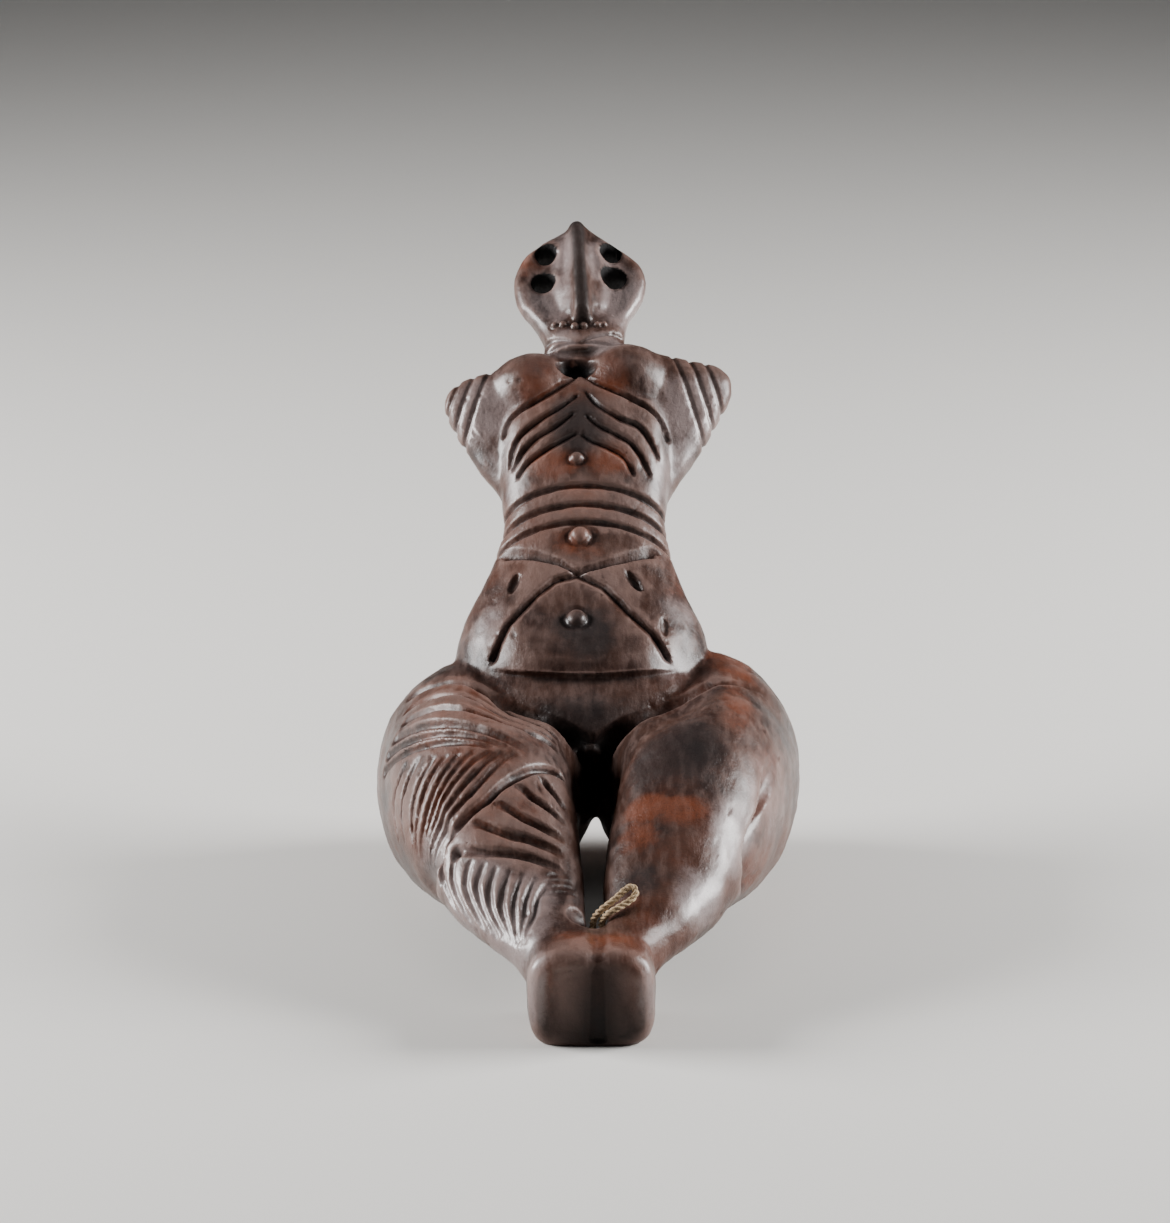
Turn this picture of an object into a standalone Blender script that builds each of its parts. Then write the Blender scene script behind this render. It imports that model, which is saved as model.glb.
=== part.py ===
"""Mother goddess figurine of burnished clay, reclining with joined feet, and the bight of twine at its feet.

Metres, +Z up. The figure lies along Y with its feet at -Y and its head at +Y, and X is its width.
The origin is at the centre of the bounding box, on the surface that it rests on.
"""

import math

import bmesh
import bpy
import numpy as np
from mathutils import Matrix, Vector

# Driving sizes.
FIGURE_LENGTH = 0.188
LEAN_DEG = 47.0
HEAD_LEAN_DEG = 55.0
HEAD_ROLL_DEG = 2.6
SHOULDER_TILT_DEG = 4.5
EYE_HOLE_DIAMETER = 0.0050
NAVEL_PELLET_DIAMETER = 0.0038
MOUTH_PELLET_DIAMETER = 0.0018
PELLET_RISE = 0.0014
# The ring of clay pressed in around a pellet: radius, half width and depth, as shares of the pellet's sizes.
PRESSED_RING = 0.66
PRESSED_WIDTH = 0.3
PRESSED_DEPTH = 0.3
GROOVE_WIDTH = 0.0023
GROOVE_DEPTH = 0.0010
# How sharply a groove's sides turn down; and a slanted groove's steep side, as a share of its width.
TROUGH_POWER = 1.3
STEEP_SHARE = 0.3
SLOPE_POWER = 1.15
APRON_STEP = 0.0015
LEG_GAP_WIDTH = 0.0082
TWINE_DIAMETER = 0.0013
TWINE_CLEARANCE = 0.0004
TWINE_STEP = 0.0009
# Skin this near the surface that the figure rests on is flat on it.
REST_SLACK = 0.00006

# The figure's proportions are counted in 188ths of its length as it lies.
LENGTH_PARTS = 188
PART = FIGURE_LENGTH / LENGTH_PARTS
RING_POINTS = 40
STATION_STEP = 1.5
# How square each kind of cross-section is, from 2, an ellipse.
PELVIS_POWER = 2.8
BELLY_POWER = 2.3
SHOULDER_POWER = 2.2
LEG_POWER = 2.1
FEET_POWER = 3.6
HEAD_POWER = 2.6
NOSE_POWER = 2.8
VOXEL = 0.8 * PART
SMOOTH_ROUNDS = 8
SMOOTH_FACTOR = 0.5
SOLID_TRIANGLES = 8550

# The trunk's frame, in the figure's middle plane: the crotch, the way up the trunk, the way out of its back.
CROTCH = (-5.0, 30.0)
LEAN = math.radians(LEAN_DEG)
UP_TRUNK = (math.sin(LEAN), math.cos(LEAN))
OUT_BACK = (math.cos(LEAN), -math.sin(LEAN))
HEAD_LEAN = math.radians(HEAD_LEAN_DEG)
UP_HEAD = (math.sin(HEAD_LEAN), math.cos(HEAD_LEAN))
OUT_FACE = (-math.cos(HEAD_LEAN), math.sin(HEAD_LEAN))
CHIN_UP = 98.0
CHIN_BACK = 7.0
# The trunk sits this far to the figure's right of the legs' middle.
TRUNK_ASIDE = -0.6
GAP_MIDDLE = 1.6

# Up the trunk: half width, how far the front stands out, how far the back lies behind the front line, and how
# far the section sits to the side.
PELVIS = ((-0.5, 3, -0.5, 22, 1), (3.2, 7.5, 0.8, 26, 1), (7.5, 15.5, 1.6, 30, 0.6), (12, 22.5, 1.2, 30, 0),
          (16, 25.4, 0.2, 30, 0), (24, 23, -2.5, 27, 0))
BELLY = ((13, 18.5, -0.9, 28, -0.8), (15.5, 22.4, 0.6, 28, -0.8), (19, 24.4, 1.8, 28, -0.7),
         (26, 24.9, 2.5, 27, -0.5), (32, 23.8, 2.0, 25, -0.4), (36, 21.9, 1.5, 23, -0.5),
         (46, 18.1, 0.3, 20, -0.3), (55, 16.2, 0, 19, 0), (66, 17, 0.6, 18.5, 0), (76, 17.6, 0.8, 17.5, 0),
         (84, 16.5, -0.4, 17, 0), (90, 12, -2.6, 15, 0), (95, 8.8, -3.2, 13.5, 0), (100, 8.1, -3.2, 13, 0),
         (104, 7.6, -4.0, 12.5, 0))
SHOULDERS = ((56, 13.5, -6.0, 14, 0.8), (64, 17.5, -5.0, 15.5, 0.8), (72, 22.6, -4.2, 15.5, 0.8),
             (80, 27, -3.2, 15, 0.8), (86, 29.6, -2.2, 14, 0.8), (90, 28.6, -2.2, 13, 0.8),
             (92.8, 21, -2.8, 12, 0.8), (95.5, 12, -3.6, 11, 0.8))
# The hole above the feet takes two strands of twine side by side.
HOLE_WIDTH = 2 * TWINE_DIAMETER + 3 * TWINE_CLEARANCE
STRAND_ASIDE = (TWINE_DIAMETER + TWINE_CLEARANCE) / 2 / PART
# Along Y: outer edge, the gap between the legs from 0, the hole's width, to 1, its widest, underside, top.
LEG = ((35.6, 21, 5.0, 16, 26), (33, 28.6, 3.0, 10.5, 32), (28, 34.8, 1.2, 5.4, 37),
       (20, 39.2, -0.4, 1.2, 40.2), (12, 40.8, -1.0, -0.9, 41.0), (4, 40.9, -1.2, -1.2, 41.0),
       (-4, 40.4, 0.3, -0.8, 41.4), (-10, 39.7, 0.8, -0.2, 42.0), (-16, 38.6, 1.0, 0.8, 42.2),
       (-24, 36.8, 0.93, 2.8, 41), (-32, 34.6, 0.75, 4.8, 38.4), (-40, 31.8, 0.55, 6.8, 34.6),
       (-50, 28.2, 0.3, 8.6, 29.2), (-58, 24.6, 0.1, 8.8, 24.2), (-66, 19.4, 0.0, 8.6, 20.2),
       (-72, 14.4, -1.05, 7.0, 18), (-80, 9.6, -1.4, 2.0, 17))
# Along Y: how much further out, inward and up the figure's left hip and leg reach than its right.
LEFT_HIP = ((35.6, 1.2, 0, 3.8), (28, 1.2, 0, 2.6), (20, 0.9, 0, 1.2), (8, 0.3, 0, 0.4), (-6, -0.2, 0, 0.2),
            (-16, -0.4, 0, 0), (-32, -0.5, 0.5, 0), (-44, -0.5, 1.1, 0), (-54, -0.2, 1.2, 0),
            (-60, 0, 0.7, 0), (-65, 0, 0, 0), (-80, 0, 0, 0))
# Along Y: how far the thigh's upper side falls away towards the groin, as a share of its half height; and how
# far across the thigh that fall begins, outward of its middle.
THIGH_FALL = ((35.6, 0.0), (24, 0.05), (14, 0.16), (4, 0.24), (-4, 0.22), (-14, 0.17), (-30, 0.0), (-80, 0.0))
FALL_OUTWARD = 0.3
# Along Y: half width, middle height, half height of the joined feet.
FEET = ((-69, 8.5, 8.4, 7.2), (-75, 10.8, 8.2, 9.0), (-82, 11.3, 8.1, 9.5), (-86, 11.0, 8.0, 9.2),
        (-87.5, 9.6, 7.8, 7.7))
FEET_MIDDLE = 0.5
# The seam between the two feet starts softly here, goes on to the toes and stays off the sole.
SEAM_WIDTH = 4.4
SEAM_DEPTH = 0.6
SEAM_FROM = (-70.0, -75.0)
SEAM_ABOVE = (0.3, 1.2)
# Up the head: half width, half thickness, how far the section sits to the side.
HEAD = ((-4, 7.8, 5.0, 0), (0, 8.1, 4.7, 0), (4, 8.9, 4.2, -0.2), (7.4, 10.1, 3.9, -0.5),
        (11, 12.3, 3.7, -0.6), (15.3, 13.6, 3.6, -0.4), (18.7, 13.9, 3.6, -0.2), (22.7, 12.9, 3.6, -0.2),
        (26.3, 10.2, 3.5, -0.7), (28.8, 7.5, 3.3, -0.7), (31, 4.7, 2.9, -0.3), (33, 2.8, 2.2, 0),
        (34.4, 1.9, 1.6, 0))
NOSE = ((3.4, 1.7, 5.6), (4.3, 1.9, 7.6), (9, 1.9, 8.2), (20, 1.6, 7.9), (29, 1.5, 6.6), (34.0, 1.5, 3.2))
NOSE_ASIDE = -0.3
NOSE_FLANKS = ((4.2, 2.4, 2.6), (7.5, 3.4, 5.0), (12, 3.4, 5.4), (22, 2.9, 5.2), (30, 2.4, 4.2))
DRILL_LENGTH = 30.0
# The holes' worn rims reach this far out and this deep.
RIM_REACH = 0.8
RIM_DEPTH = 0.4
# To the side, up the head, diameter as a share; the holes run down and back, steeper than the face by this.
EYE_HOLES = ((-7.8, 16.5, 1.0), (-7.0, 24.4, 0.93), (6.8, 17.3, 1.06), (6.5, 24.4, 0.92))
DRILL_STEEPER_DEG = 12.0
# Each breast's lobe: to the side, up the trunk; then its radii to the side, out of the back and up.
BREASTS = (((-10.2, 87.0), (10.0, 10.2, 8.9)), ((8.4, 89.0), (10.2, 10.4, 9.2)))
BREAST_BACK = 9.2

# Each field of carving, up the trunk or the head: where it starts or ends, softly where there are two places.
BELLY_FROM = (13.5, 14.5)
WAIST_FROM = 45.0
GROIN_TO = 24.0
CHEST_TO = (93.0, 95.0)
STUMPS_FROM = (62.0, 66.0)
STUMPS_TO = (97.0, 99.0)
CHIN_FROM = (-4.5, -3.0)
# How deep behind the trunk's front line, and how far to the side, the fields reach.
FRONT_DEPTH = 9.0
BACK_DEPTH = 24.0
STUMPS_ASIDE = 16.0
# The belly's lower corners over the thighs climb this much for each part to the side.
BELLY_CORNER = 0.62

# The chest's lines, from the breastbone outward: four on the figure's right, then four on its left.
CHEST_LINES = (
    ((-2.2, 86.8), (-3.8, 85.6), (-6.7, 83.1), (-9.1, 81.5), (-11.5, 80.3), (-13.9, 79), (-15.6, 77.3),
     (-16.4, 74.5)),
    ((-1.9, 81.4), (-5.5, 78.4), (-10.3, 75.2), (-13.2, 72.8), (-14.8, 69.9), (-15.2, 67)),
    ((-2.6, 76.6), (-3.8, 75.6), (-6.7, 73.4), (-10.3, 71.3), (-12.7, 68.9), (-14.4, 65.8)),
    ((-1.9, 71.8), (-4.8, 70.3), (-8.4, 68.3), (-11.5, 66.1), (-13.4, 63.5)),
    ((-0.5, 88.1), (2.9, 85.1), (8.8, 82), (13.2, 80), (15.8, 77.3), (16.9, 73.9)),
    ((0.5, 82.3), (2.9, 79), (7.2, 76), (10.9, 74.8), (13.1, 72.3), (14.8, 68.6)),
    ((0.7, 75.9), (2.9, 73.9), (6.4, 72.1), (9.4, 70.4), (11.2, 67.9), (13.1, 64.2)),
    ((-0.2, 71.3), (1.9, 69.9), (5.3, 68.6), (8.1, 66.8), (9.8, 63.2)))
# Their width and depth as shares of a groove's.
CHEST_LINE_WIDTH = 0.95
CHEST_LINE_DEPTH = 1.25
WAIST_BANDS = (59.6, 55.2, 51.0)
# How much the bands droop at the waist's sides, this far out.
WAIST_SAG = 3.0
WAIST_SIDE = 16.0
WAIST_WIDTH = 0.85
# The crossing on the belly: each arm's line, its width at either end as shares of a groove's, and whether its
# steep side is on the left of the line.
BELLY_ARMS = ((((-1.4, 38.4), (-5, 40.8), (-10, 43.2), (-15.4, 44.8)), 0.7, 1.5, True),
              (((-1.4, 38.4), (3, 40.0), (7.5, 41.9), (13.0, 44.4)), 0.7, 1.5, False),
              (((-1.4, 38.4), (-6.2, 36.9), (-9.8, 33.4), (-15.2, 26.6), (-18.0, 20.2)), 1.2, 0.9, False),
              (((-1.4, 38.4), (3.8, 35.4), (8.7, 29.3), (13.2, 24.2), (15.9, 20.4)), 1.2, 1.0, True))
BELLY_ARM_DEPTH = 1.3
# The apron's edge: its height in the middle, its rise at the hips this far out, where it fades at the sides.
APRON_EDGE = 14.1
APRON_SWEEP = 3.4
APRON_HALF = 17.0
APRON_SIDES = (11.0, 19.0)
# To the side, up the trunk, size as a share of the navel's pellet.
TRUNK_PELLETS = ((-1.6, 26.9, 1.0), (-0.9, 47.7, 1.0), (-1.6, 65.9, 0.7), (-2.4, 91.3, 0.34))
# The hollow at the throat: middle, half width, half height, depth.
THROAT_HOLLOW = ((-1.6, 89.6), 4.4, 2.7, 2.4)
# The dents beside the crossing: to the side, up the trunk, half width, half length, lean to the side, depth.
BELLY_OVALS = ((-13.8, 36.9, 1.1, 2.6, 0.25, 1.0), (9.7, 37.0, 1.3, 2.6, -0.45, 1.0),
               (15.4, 26.6, 0.9, 2.3, 0, 0.5))
# The folds where the thighs leave the belly: their width at the inner and the outer end, and their depth.
GROIN_WIDTHS = (4.8, 3.8)
GROIN_DEPTH = 2.4
GROIN_FOLDS = (((0.5, 0), (-5.5, 3.3), (-13.5, 7.3), (-21, 11.8), (-28.8, 15.5)),
               ((2.0, 0), (6, 3.0), (15.8, 8.5), (23.3, 12.0), (32.7, 13.5)))
# Behind each shin, round the leg's side in degrees from its top: where along Y the step down to the hip is.
KNEE_FOLDS = ((-1, ((44, -47), (54, -49.4), (66, -50.7), (86, -51.3), (100, -50.6), (117, -48.2))),
              (1, ((46, -27), (55, -32.4), (65, -39.1), (70, -45.5), (80, -48.7), (95, -49.6), (123, -43.6))))
KNEE_FOLD_DEPTH = 1.5
KNEE_FOLD_REACH = 12.0
KNEE_FOLD_STARTS = (46, 62)
KNEE_FOLD_ENDS = (112, 128)

# Each stump's side, and how far out its rings are on the arm's slant.
ARM_SLANT_DEG = 18.0
ARM_MIDDLE = 85.0
ARM_RING_WIDTH = 0.6
ARM_RING_DEPTH = 0.4
ARM_RINGS = ((-1, (20.7, 23.4, 26.1)), (1, (19.4, 22.4, 25.3)))
FACE_DISH = 1.1
# How far up the head the dished face begins and ends.
FACE_FROM = (4.0, 9.0)
FACE_TO = (22.0, 28.0)
MOUTH_PELLETS = ((-6.1, 3.5, 0.8), (-4.3, 3.2, 0.8), (-1.8, 2.2, 0.95), (-0.1, 2.2, 0.95), (2.8, 2.6, 0.85),
                 (4.0, 2.9, 0.8))
# The throat's crossing: to the side, up the head; then how its upper and lower arms rise.
THROAT_CROSSING = (-1.6, -2.8)
THROAT_RISES = (0.55, 0.05)
THROAT_LINE_WIDTH = 1.5
THROAT_LINE_DEPTH = 0.6

# The figure's right leg, in the chart (Y, degrees around the leg from its top, outward positive): the line
# over its knee, then families of grooves, each with count, width and depth as shares, and the lines that the
# grooves run between.
KNEE_LINE = ((-30.4, -54), (-35.4, -33), (-40.5, -10), (-45.2, 14), (-48.7, 47), (-50.4, 68), (-53, 84))
KNEE_LINE_SHARE = 1.3
LEG_FAMILIES = (
    (3, 1.5, 1.8, ((9, 44), (4, 14), (0, -6), (-9.9, -30), (-12, -48)),
     ((-8.6, 42), (-16.2, 18), (-19.7, 0), (-22.7, -20), (-21.5, -44))),
    (3, 1.4, 1.6, ((-11.5, 52), (-20.4, 30), (-24.5, 14), (-28, -2), (-31, -18)),
     ((-13, 72), (-21.5, 50), (-26.7, 33), (-30, 17), (-32, 2))),
    (9, 0.75, 0.8, ((-25, 55), (-25, 71), (-26.1, 87), (-28.3, 100)),
     ((-31.6, 37), (-33.8, 57), (-36, 73), (-38.5, 88)), ((-33.8, 22), (-38, 47), (-41, 68), (-43, 93)),
     ((-34.2, 2), (-39.4, 33), (-43, 60), (-44.6, 94)), ((-34.2, -14), (-42, 18), (-46, 50), (-47.5, 84))),
    (5, 1.1, 1.35, ((-37.5, -35), (-38.5, -40), (-39.5, -46), (-40.5, -53)),
     ((-46.6, 1), (-48.9, -17), (-50, -36), (-50.2, -51)),
     ((-52.8, 56), (-55.3, 34), (-56.4, 0), (-58, -48))),
    (9, 0.75, 0.8, ((-51, 70), (-52.9, 80), (-56.2, 86), (-60.8, 95)),
     ((-56.3, 52), (-59.2, 67), (-63.6, 77), (-67.5, 86)), ((-59, 31), (-62.8, 53), (-67.4, 68), (-71.3, 78)),
     ((-61, 0), (-66, 31), (-70.6, 57), (-73.8, 72)), ((-62.3, -34), (-68, 5), (-72.2, 42), (-75, 60))),
    (4, 0.6, 0.3, ((-60.7, -34), (-59.4, -46), (-58.6, -58)), ((-65.4, -18), (-63.6, -46), (-62.1, -66))))
LEG_LINE_STEP = 7.0
# Two stabs of the tool in the same chart, with their radii and depths.
LEG_STABS = (((-53.2, 58), 1.3, 1.2), ((-37.5, 80), 1.0, 0.8))
# The pressed-in mouth of the hole above the joined feet: middle, radius, depth.
HOLE_MOUTH = ((-0.6, -68.6, 17.0), 3.6, 1.8)
# A bight of twine with both ends down in that hole, over the ankle of the left leg.
TWINE_ROUTE = (
    (GAP_MIDDLE - STRAND_ASIDE, -63.4, 8.6), (GAP_MIDDLE - STRAND_ASIDE, -64.6, 12.6),
    (GAP_MIDDLE - STRAND_ASIDE + 0.2, -66.7, 16.0), (2.2, -68.1, 18.2), (4.5, -67.8, 20.0),
    (6.5, -66.9, 21.6), (7.8, -66.6, 22.1), (8.4, -67.3, 21.3), (7.8, -68.0, 20.4), (6.6, -68.6, 19.7),
    (4.8, -69.5, 18.9), (3.4, -69.2, 17.9), (GAP_MIDDLE + STRAND_ASIDE, -67.3, 15.9),
    (GAP_MIDDLE + STRAND_ASIDE, -65.0, 12.6), (GAP_MIDDLE + STRAND_ASIDE, -63.6, 8.6))


def curve_through(table, at):
    """Each column of the table at the places asked for, on a smooth curve that doesn't overshoot."""
    rows = np.array(sorted(table), float)
    place, values = rows[:, 0], rows[:, 1:]
    step = np.diff(place)[:, None]
    slope = np.diff(values, axis=0) / step
    same_way = slope[:-1] * slope[1:] > 0
    mean = np.where(same_way, 2 * slope[:-1] * slope[1:] / np.where(same_way, slope[:-1] + slope[1:], 1), 0)
    tangent = np.vstack([slope[:1], mean, slope[-1:]])
    at = np.asarray(at, float)
    left = np.clip(np.searchsorted(place, at) - 1, 0, len(place) - 2)
    width = step[left]
    share = (at[:, None] - place[left][:, None]) / width
    rise = share * share * (3 - 2 * share)
    leave, arrive = share * (1 - share) ** 2, share ** 2 * (share - 1)
    return (values[left] * (1 - rise) + values[left + 1] * rise
            + (tangent[left] * leave + tangent[left + 1] * arrive) * width)


def supple(route, step):
    """Evenly spaced points of a smooth line through the route's own points."""
    ends = np.vstack([2 * route[0] - route[1], route, 2 * route[-1] - route[-2]])
    points = []
    for before, a, b, after in zip(ends, ends[1:], ends[2:], ends[3:]):
        count = max(2, round(np.linalg.norm(b - a) / step))
        for t in np.arange(count) / count:
            points.append(0.5 * (2 * a + (b - before) * t + (2 * before - 5 * a + 4 * b - after) * t * t
                                 + (3 * a - before - 3 * b + after) * t ** 3))
    return points + [route[-1]]


def stations(table, step=STATION_STEP):
    """Evenly spaced rows of the smooth curve through a table, from its one end to its other."""
    ends = min(row[0] for row in table), max(row[0] for row in table)
    places = np.linspace(*ends, max(3, round((ends[1] - ends[0]) / step) + 1))
    return np.column_stack([places, curve_through(table, places)])


def ring(centre, across, out, half_width, half_depth, power):
    """The points of one cross-section, a rounded outline between an ellipse (power 2) and a box."""
    points = []
    for k in range(RING_POINTS):
        angle = 2 * math.pi * k / RING_POINTS
        c, s = math.cos(angle), math.sin(angle)
        along = math.copysign(abs(c) ** (2 / power), c) * half_width
        up = math.copysign(abs(s) ** (2 / power), s) * half_depth
        points.append(centre + across * along + out * up)
    return points


def loft(bm, rings):
    """A closed body through a row of rings, with rounded-off flat ends."""
    loops = [[bm.verts.new(point) for point in points] for points in rings]
    edges = [[bm.edges.new((loop[k - 1], loop[k])) for k in range(len(loop))] for loop in loops]
    for one, other in zip(edges, edges[1:]):
        bmesh.ops.bridge_loops(bm, edges=one + other)
    bm.faces.new(loops[0])
    bm.faces.new(loops[-1])


def on_trunk(up, x=0.0, back=0.0):
    """The point this far up the trunk's front line, to the side and behind it."""
    return Vector((x + TRUNK_ASIDE, CROTCH[0] + up * UP_TRUNK[0] + back * OUT_BACK[0],
                   CROTCH[1] + up * UP_TRUNK[1] + back * OUT_BACK[1]))


def head_frame():
    """The middle of the chin's thickness, with the head's sideways, upward and outward directions."""
    roll = math.radians(HEAD_ROLL_DEG)
    up, out = Vector((0, *UP_HEAD)), Vector((0, *OUT_FACE))
    side = Vector((1, 0, 0))
    turned = up * math.cos(roll) - side * math.sin(roll)
    return on_trunk(CHIN_UP, 0.0, CHIN_BACK), side * math.cos(roll) + up * math.sin(roll), turned, out


def on_head(up, x=0.0, out=0.0):
    """The point this far up the head from the chin, to the side and in front of its middle."""
    chin, side, upward, outward = head_frame()
    return chin + side * x + upward * up + outward * out


def trunk_loft(bm, table, power, tilt=0.0):
    """A length of the trunk, moved to the side and tilted as shoulders are."""
    across = Vector((math.cos(tilt), UP_TRUNK[0] * math.sin(tilt), UP_TRUNK[1] * math.sin(tilt)))
    out = Vector((0, OUT_BACK[0], OUT_BACK[1]))
    rings = []
    for up, half_width, front, back, aside in stations(table):
        centre = on_trunk(up, aside, (back - front) / 2)
        rings.append(ring(centre, across, out, half_width, (back + front) / 2, power))
    loft(bm, rings)


def half_gap(share):
    """Half the gap between the legs, from the hole's width at 0 to the widest at 1."""
    return (HOLE_WIDTH + (LEG_GAP_WIDTH - HOLE_WIDTH) * share) / PART / 2


def leg_sizes(y, side=-1):
    """The leg's middle and half sizes across and up at each place along Y."""
    y = np.clip(y, LEG[-1][0], LEG[0][0])
    edge, gap, low, high = curve_through(LEG, y).T
    inner = side * GAP_MIDDLE + half_gap(gap)
    if side > 0:
        further, nearer, higher = curve_through(LEFT_HIP, y).T
        edge, inner, high = edge + further, inner - nearer, high + higher
    return side * (inner + edge) / 2, (low + high) / 2, (edge - inner) / 2, (high - low) / 2


def leg_loft(bm, side):
    """A leg from hip to ankle; the upper inner part of the thigh falls away towards the groin."""
    across, out = Vector((1, 0, 0)), Vector((0, 0, 1))
    rings = []
    places = stations(LEG)[:, 0]
    falls = curve_through(THIGH_FALL, places)[:, 0]
    for y, fall, middle_x, middle_z, half_x, half_z in zip(places, falls, *leg_sizes(places, side)):
        centre = Vector((middle_x, y, middle_z))
        points = ring(centre, across, out, half_x, half_z, LEG_POWER)
        for point in points:
            inward = (side * (centre.x - point.x) / half_x + FALL_OUTWARD) / (1 + FALL_OUTWARD)
            rise = (point.z - centre.z) / half_z
            if inward > 0 and rise > 0:
                point.z -= fall * half_z * math.sin(math.pi * inward) ** 2 * rise
        rings.append(points)
    loft(bm, rings)


def feet_loft(bm):
    across, out = Vector((1, 0, 0)), Vector((0, 0, 1))
    loft(bm, [ring(Vector((FEET_MIDDLE, y, z)), across, out, half_width, half_height, FEET_POWER)
              for y, half_width, z, half_height in stations(FEET)])


def ball(bm, centre, radii, turn):
    """An ellipsoid, turned about X by this angle."""
    place = Matrix.Translation(centre) @ Matrix.Rotation(turn, 4, "X") @ Matrix.Diagonal((*radii, 1))
    bmesh.ops.create_uvsphere(bm, u_segments=32, v_segments=20, radius=1, matrix=place)


def object_from(name, bm):
    bmesh.ops.recalc_face_normals(bm, faces=bm.faces)
    mesh = bpy.data.meshes.new(name)
    bm.to_mesh(mesh)
    bm.free()
    made = bpy.data.objects.new(name, mesh)
    bpy.context.scene.collection.objects.link(made)
    return made


def apply_modifiers(obj):
    graph = bpy.context.evaluated_depsgraph_get()
    finished = bpy.data.meshes.new_from_object(obj.evaluated_get(graph))
    obj.modifiers.clear()
    obj.data = finished


def body_object():
    bm = bmesh.new()
    trunk_loft(bm, PELVIS, PELVIS_POWER)
    trunk_loft(bm, BELLY, BELLY_POWER)
    trunk_loft(bm, SHOULDERS, SHOULDER_POWER, math.radians(SHOULDER_TILT_DEG))
    for side in (-1, 1):
        leg_loft(bm, side)
    for (x, up), radii in BREASTS:
        ball(bm, on_trunk(up, x, BREAST_BACK), radii, -LEAN)
    feet_loft(bm)
    return object_from("body", bm)


def head_object():
    _, side, _, outward = head_frame()
    bm = bmesh.new()
    loft(bm, [ring(on_head(up, aside), side, outward, half_width, half_thickness, HEAD_POWER)
              for up, half_width, half_thickness, aside in stations(HEAD)])
    return object_from("head", bm)


def nose_object():
    """The pinched ridge from the crown to the nose's end."""
    _, side, _, outward = head_frame()
    bm = bmesh.new()
    for table in (NOSE, NOSE_FLANKS):
        loft(bm, [ring(on_head(up, NOSE_ASIDE, rise / 2), side, outward, half_width, rise / 2, NOSE_POWER)
                  for up, half_width, rise in stations(table)])
    return object_from("nose", bm)


def joined(name, pieces):
    """The pieces' meshes in one mesh."""
    bm = bmesh.new()
    for piece in pieces:
        bm.from_mesh(piece.data)
        bpy.data.objects.remove(piece)
    return object_from(name, bm)


def melted(obj):
    """Overlapping forms become one skin, smoothed as a wet hand would, at full size."""
    obj.data.transform(Matrix.Scale(PART, 4))
    merge = obj.modifiers.new("one skin", "REMESH")
    merge.mode, merge.voxel_size, merge.adaptivity = "VOXEL", VOXEL, 0.0
    smooth = obj.modifiers.new("wiped smooth", "SMOOTH")
    smooth.factor, smooth.iterations = SMOOTH_FACTOR, SMOOTH_ROUNDS
    apply_modifiers(obj)


def ramp(value, low, high):
    """0 below low, 1 above high, with soft ends."""
    share = np.clip((value - low) / (high - low), 0, 1)
    return share * share * (3 - 2 * share)


def stroke(across, along, points):
    """How far each place in a chart lies from a line, how far along, and whether it is on its left."""
    best, share, left = np.full(len(across), 1e9), np.zeros(len(across)), np.zeros(len(across), bool)
    last = len(points) - 1
    for k in range(last):
        (ax, ay), (bx, by) = points[k], points[k + 1]
        length = (bx - ax) ** 2 + (by - ay) ** 2
        t = np.clip(((across - ax) * (bx - ax) + (along - ay) * (by - ay)) / length, 0, 1)
        gap = np.hypot(across - ax - t * (bx - ax), along - ay - t * (by - ay))
        nearer = gap < best
        best[nearer], share[nearer] = gap[nearer], (k + t[nearer]) / last
        left[nearer] = ((bx - ax) * (along - ay) > (by - ay) * (across - ax))[nearer]
    return best, share, left


def trough(distance, width, depth):
    """A rounded groove of this width."""
    return -depth * np.cos(np.clip(distance / (width / 2), 0, 1) * math.pi / 2) ** TROUGH_POWER


def slanted_trough(distance, steep, width, depth):
    """A groove with one steep side and one that slopes gently, as a slanted tool leaves it."""
    reach = np.where(steep, STEEP_SHARE, 1 - STEEP_SHARE) * width
    return -depth * (1 - np.clip(distance / reach, 0, 1)) ** SLOPE_POWER


def bead(distance, diameter, rise):
    """A flattened pellet in a shallow ring of pressed clay."""
    inside = np.clip(1 - (distance / (diameter / 2)) ** 2, 0, 1)
    pressed = np.clip(1 - np.abs(distance - diameter * PRESSED_RING) / (diameter * PRESSED_WIDTH), 0, 1)
    return rise * (np.sqrt(inside) - PRESSED_DEPTH * pressed ** 2)


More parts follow.
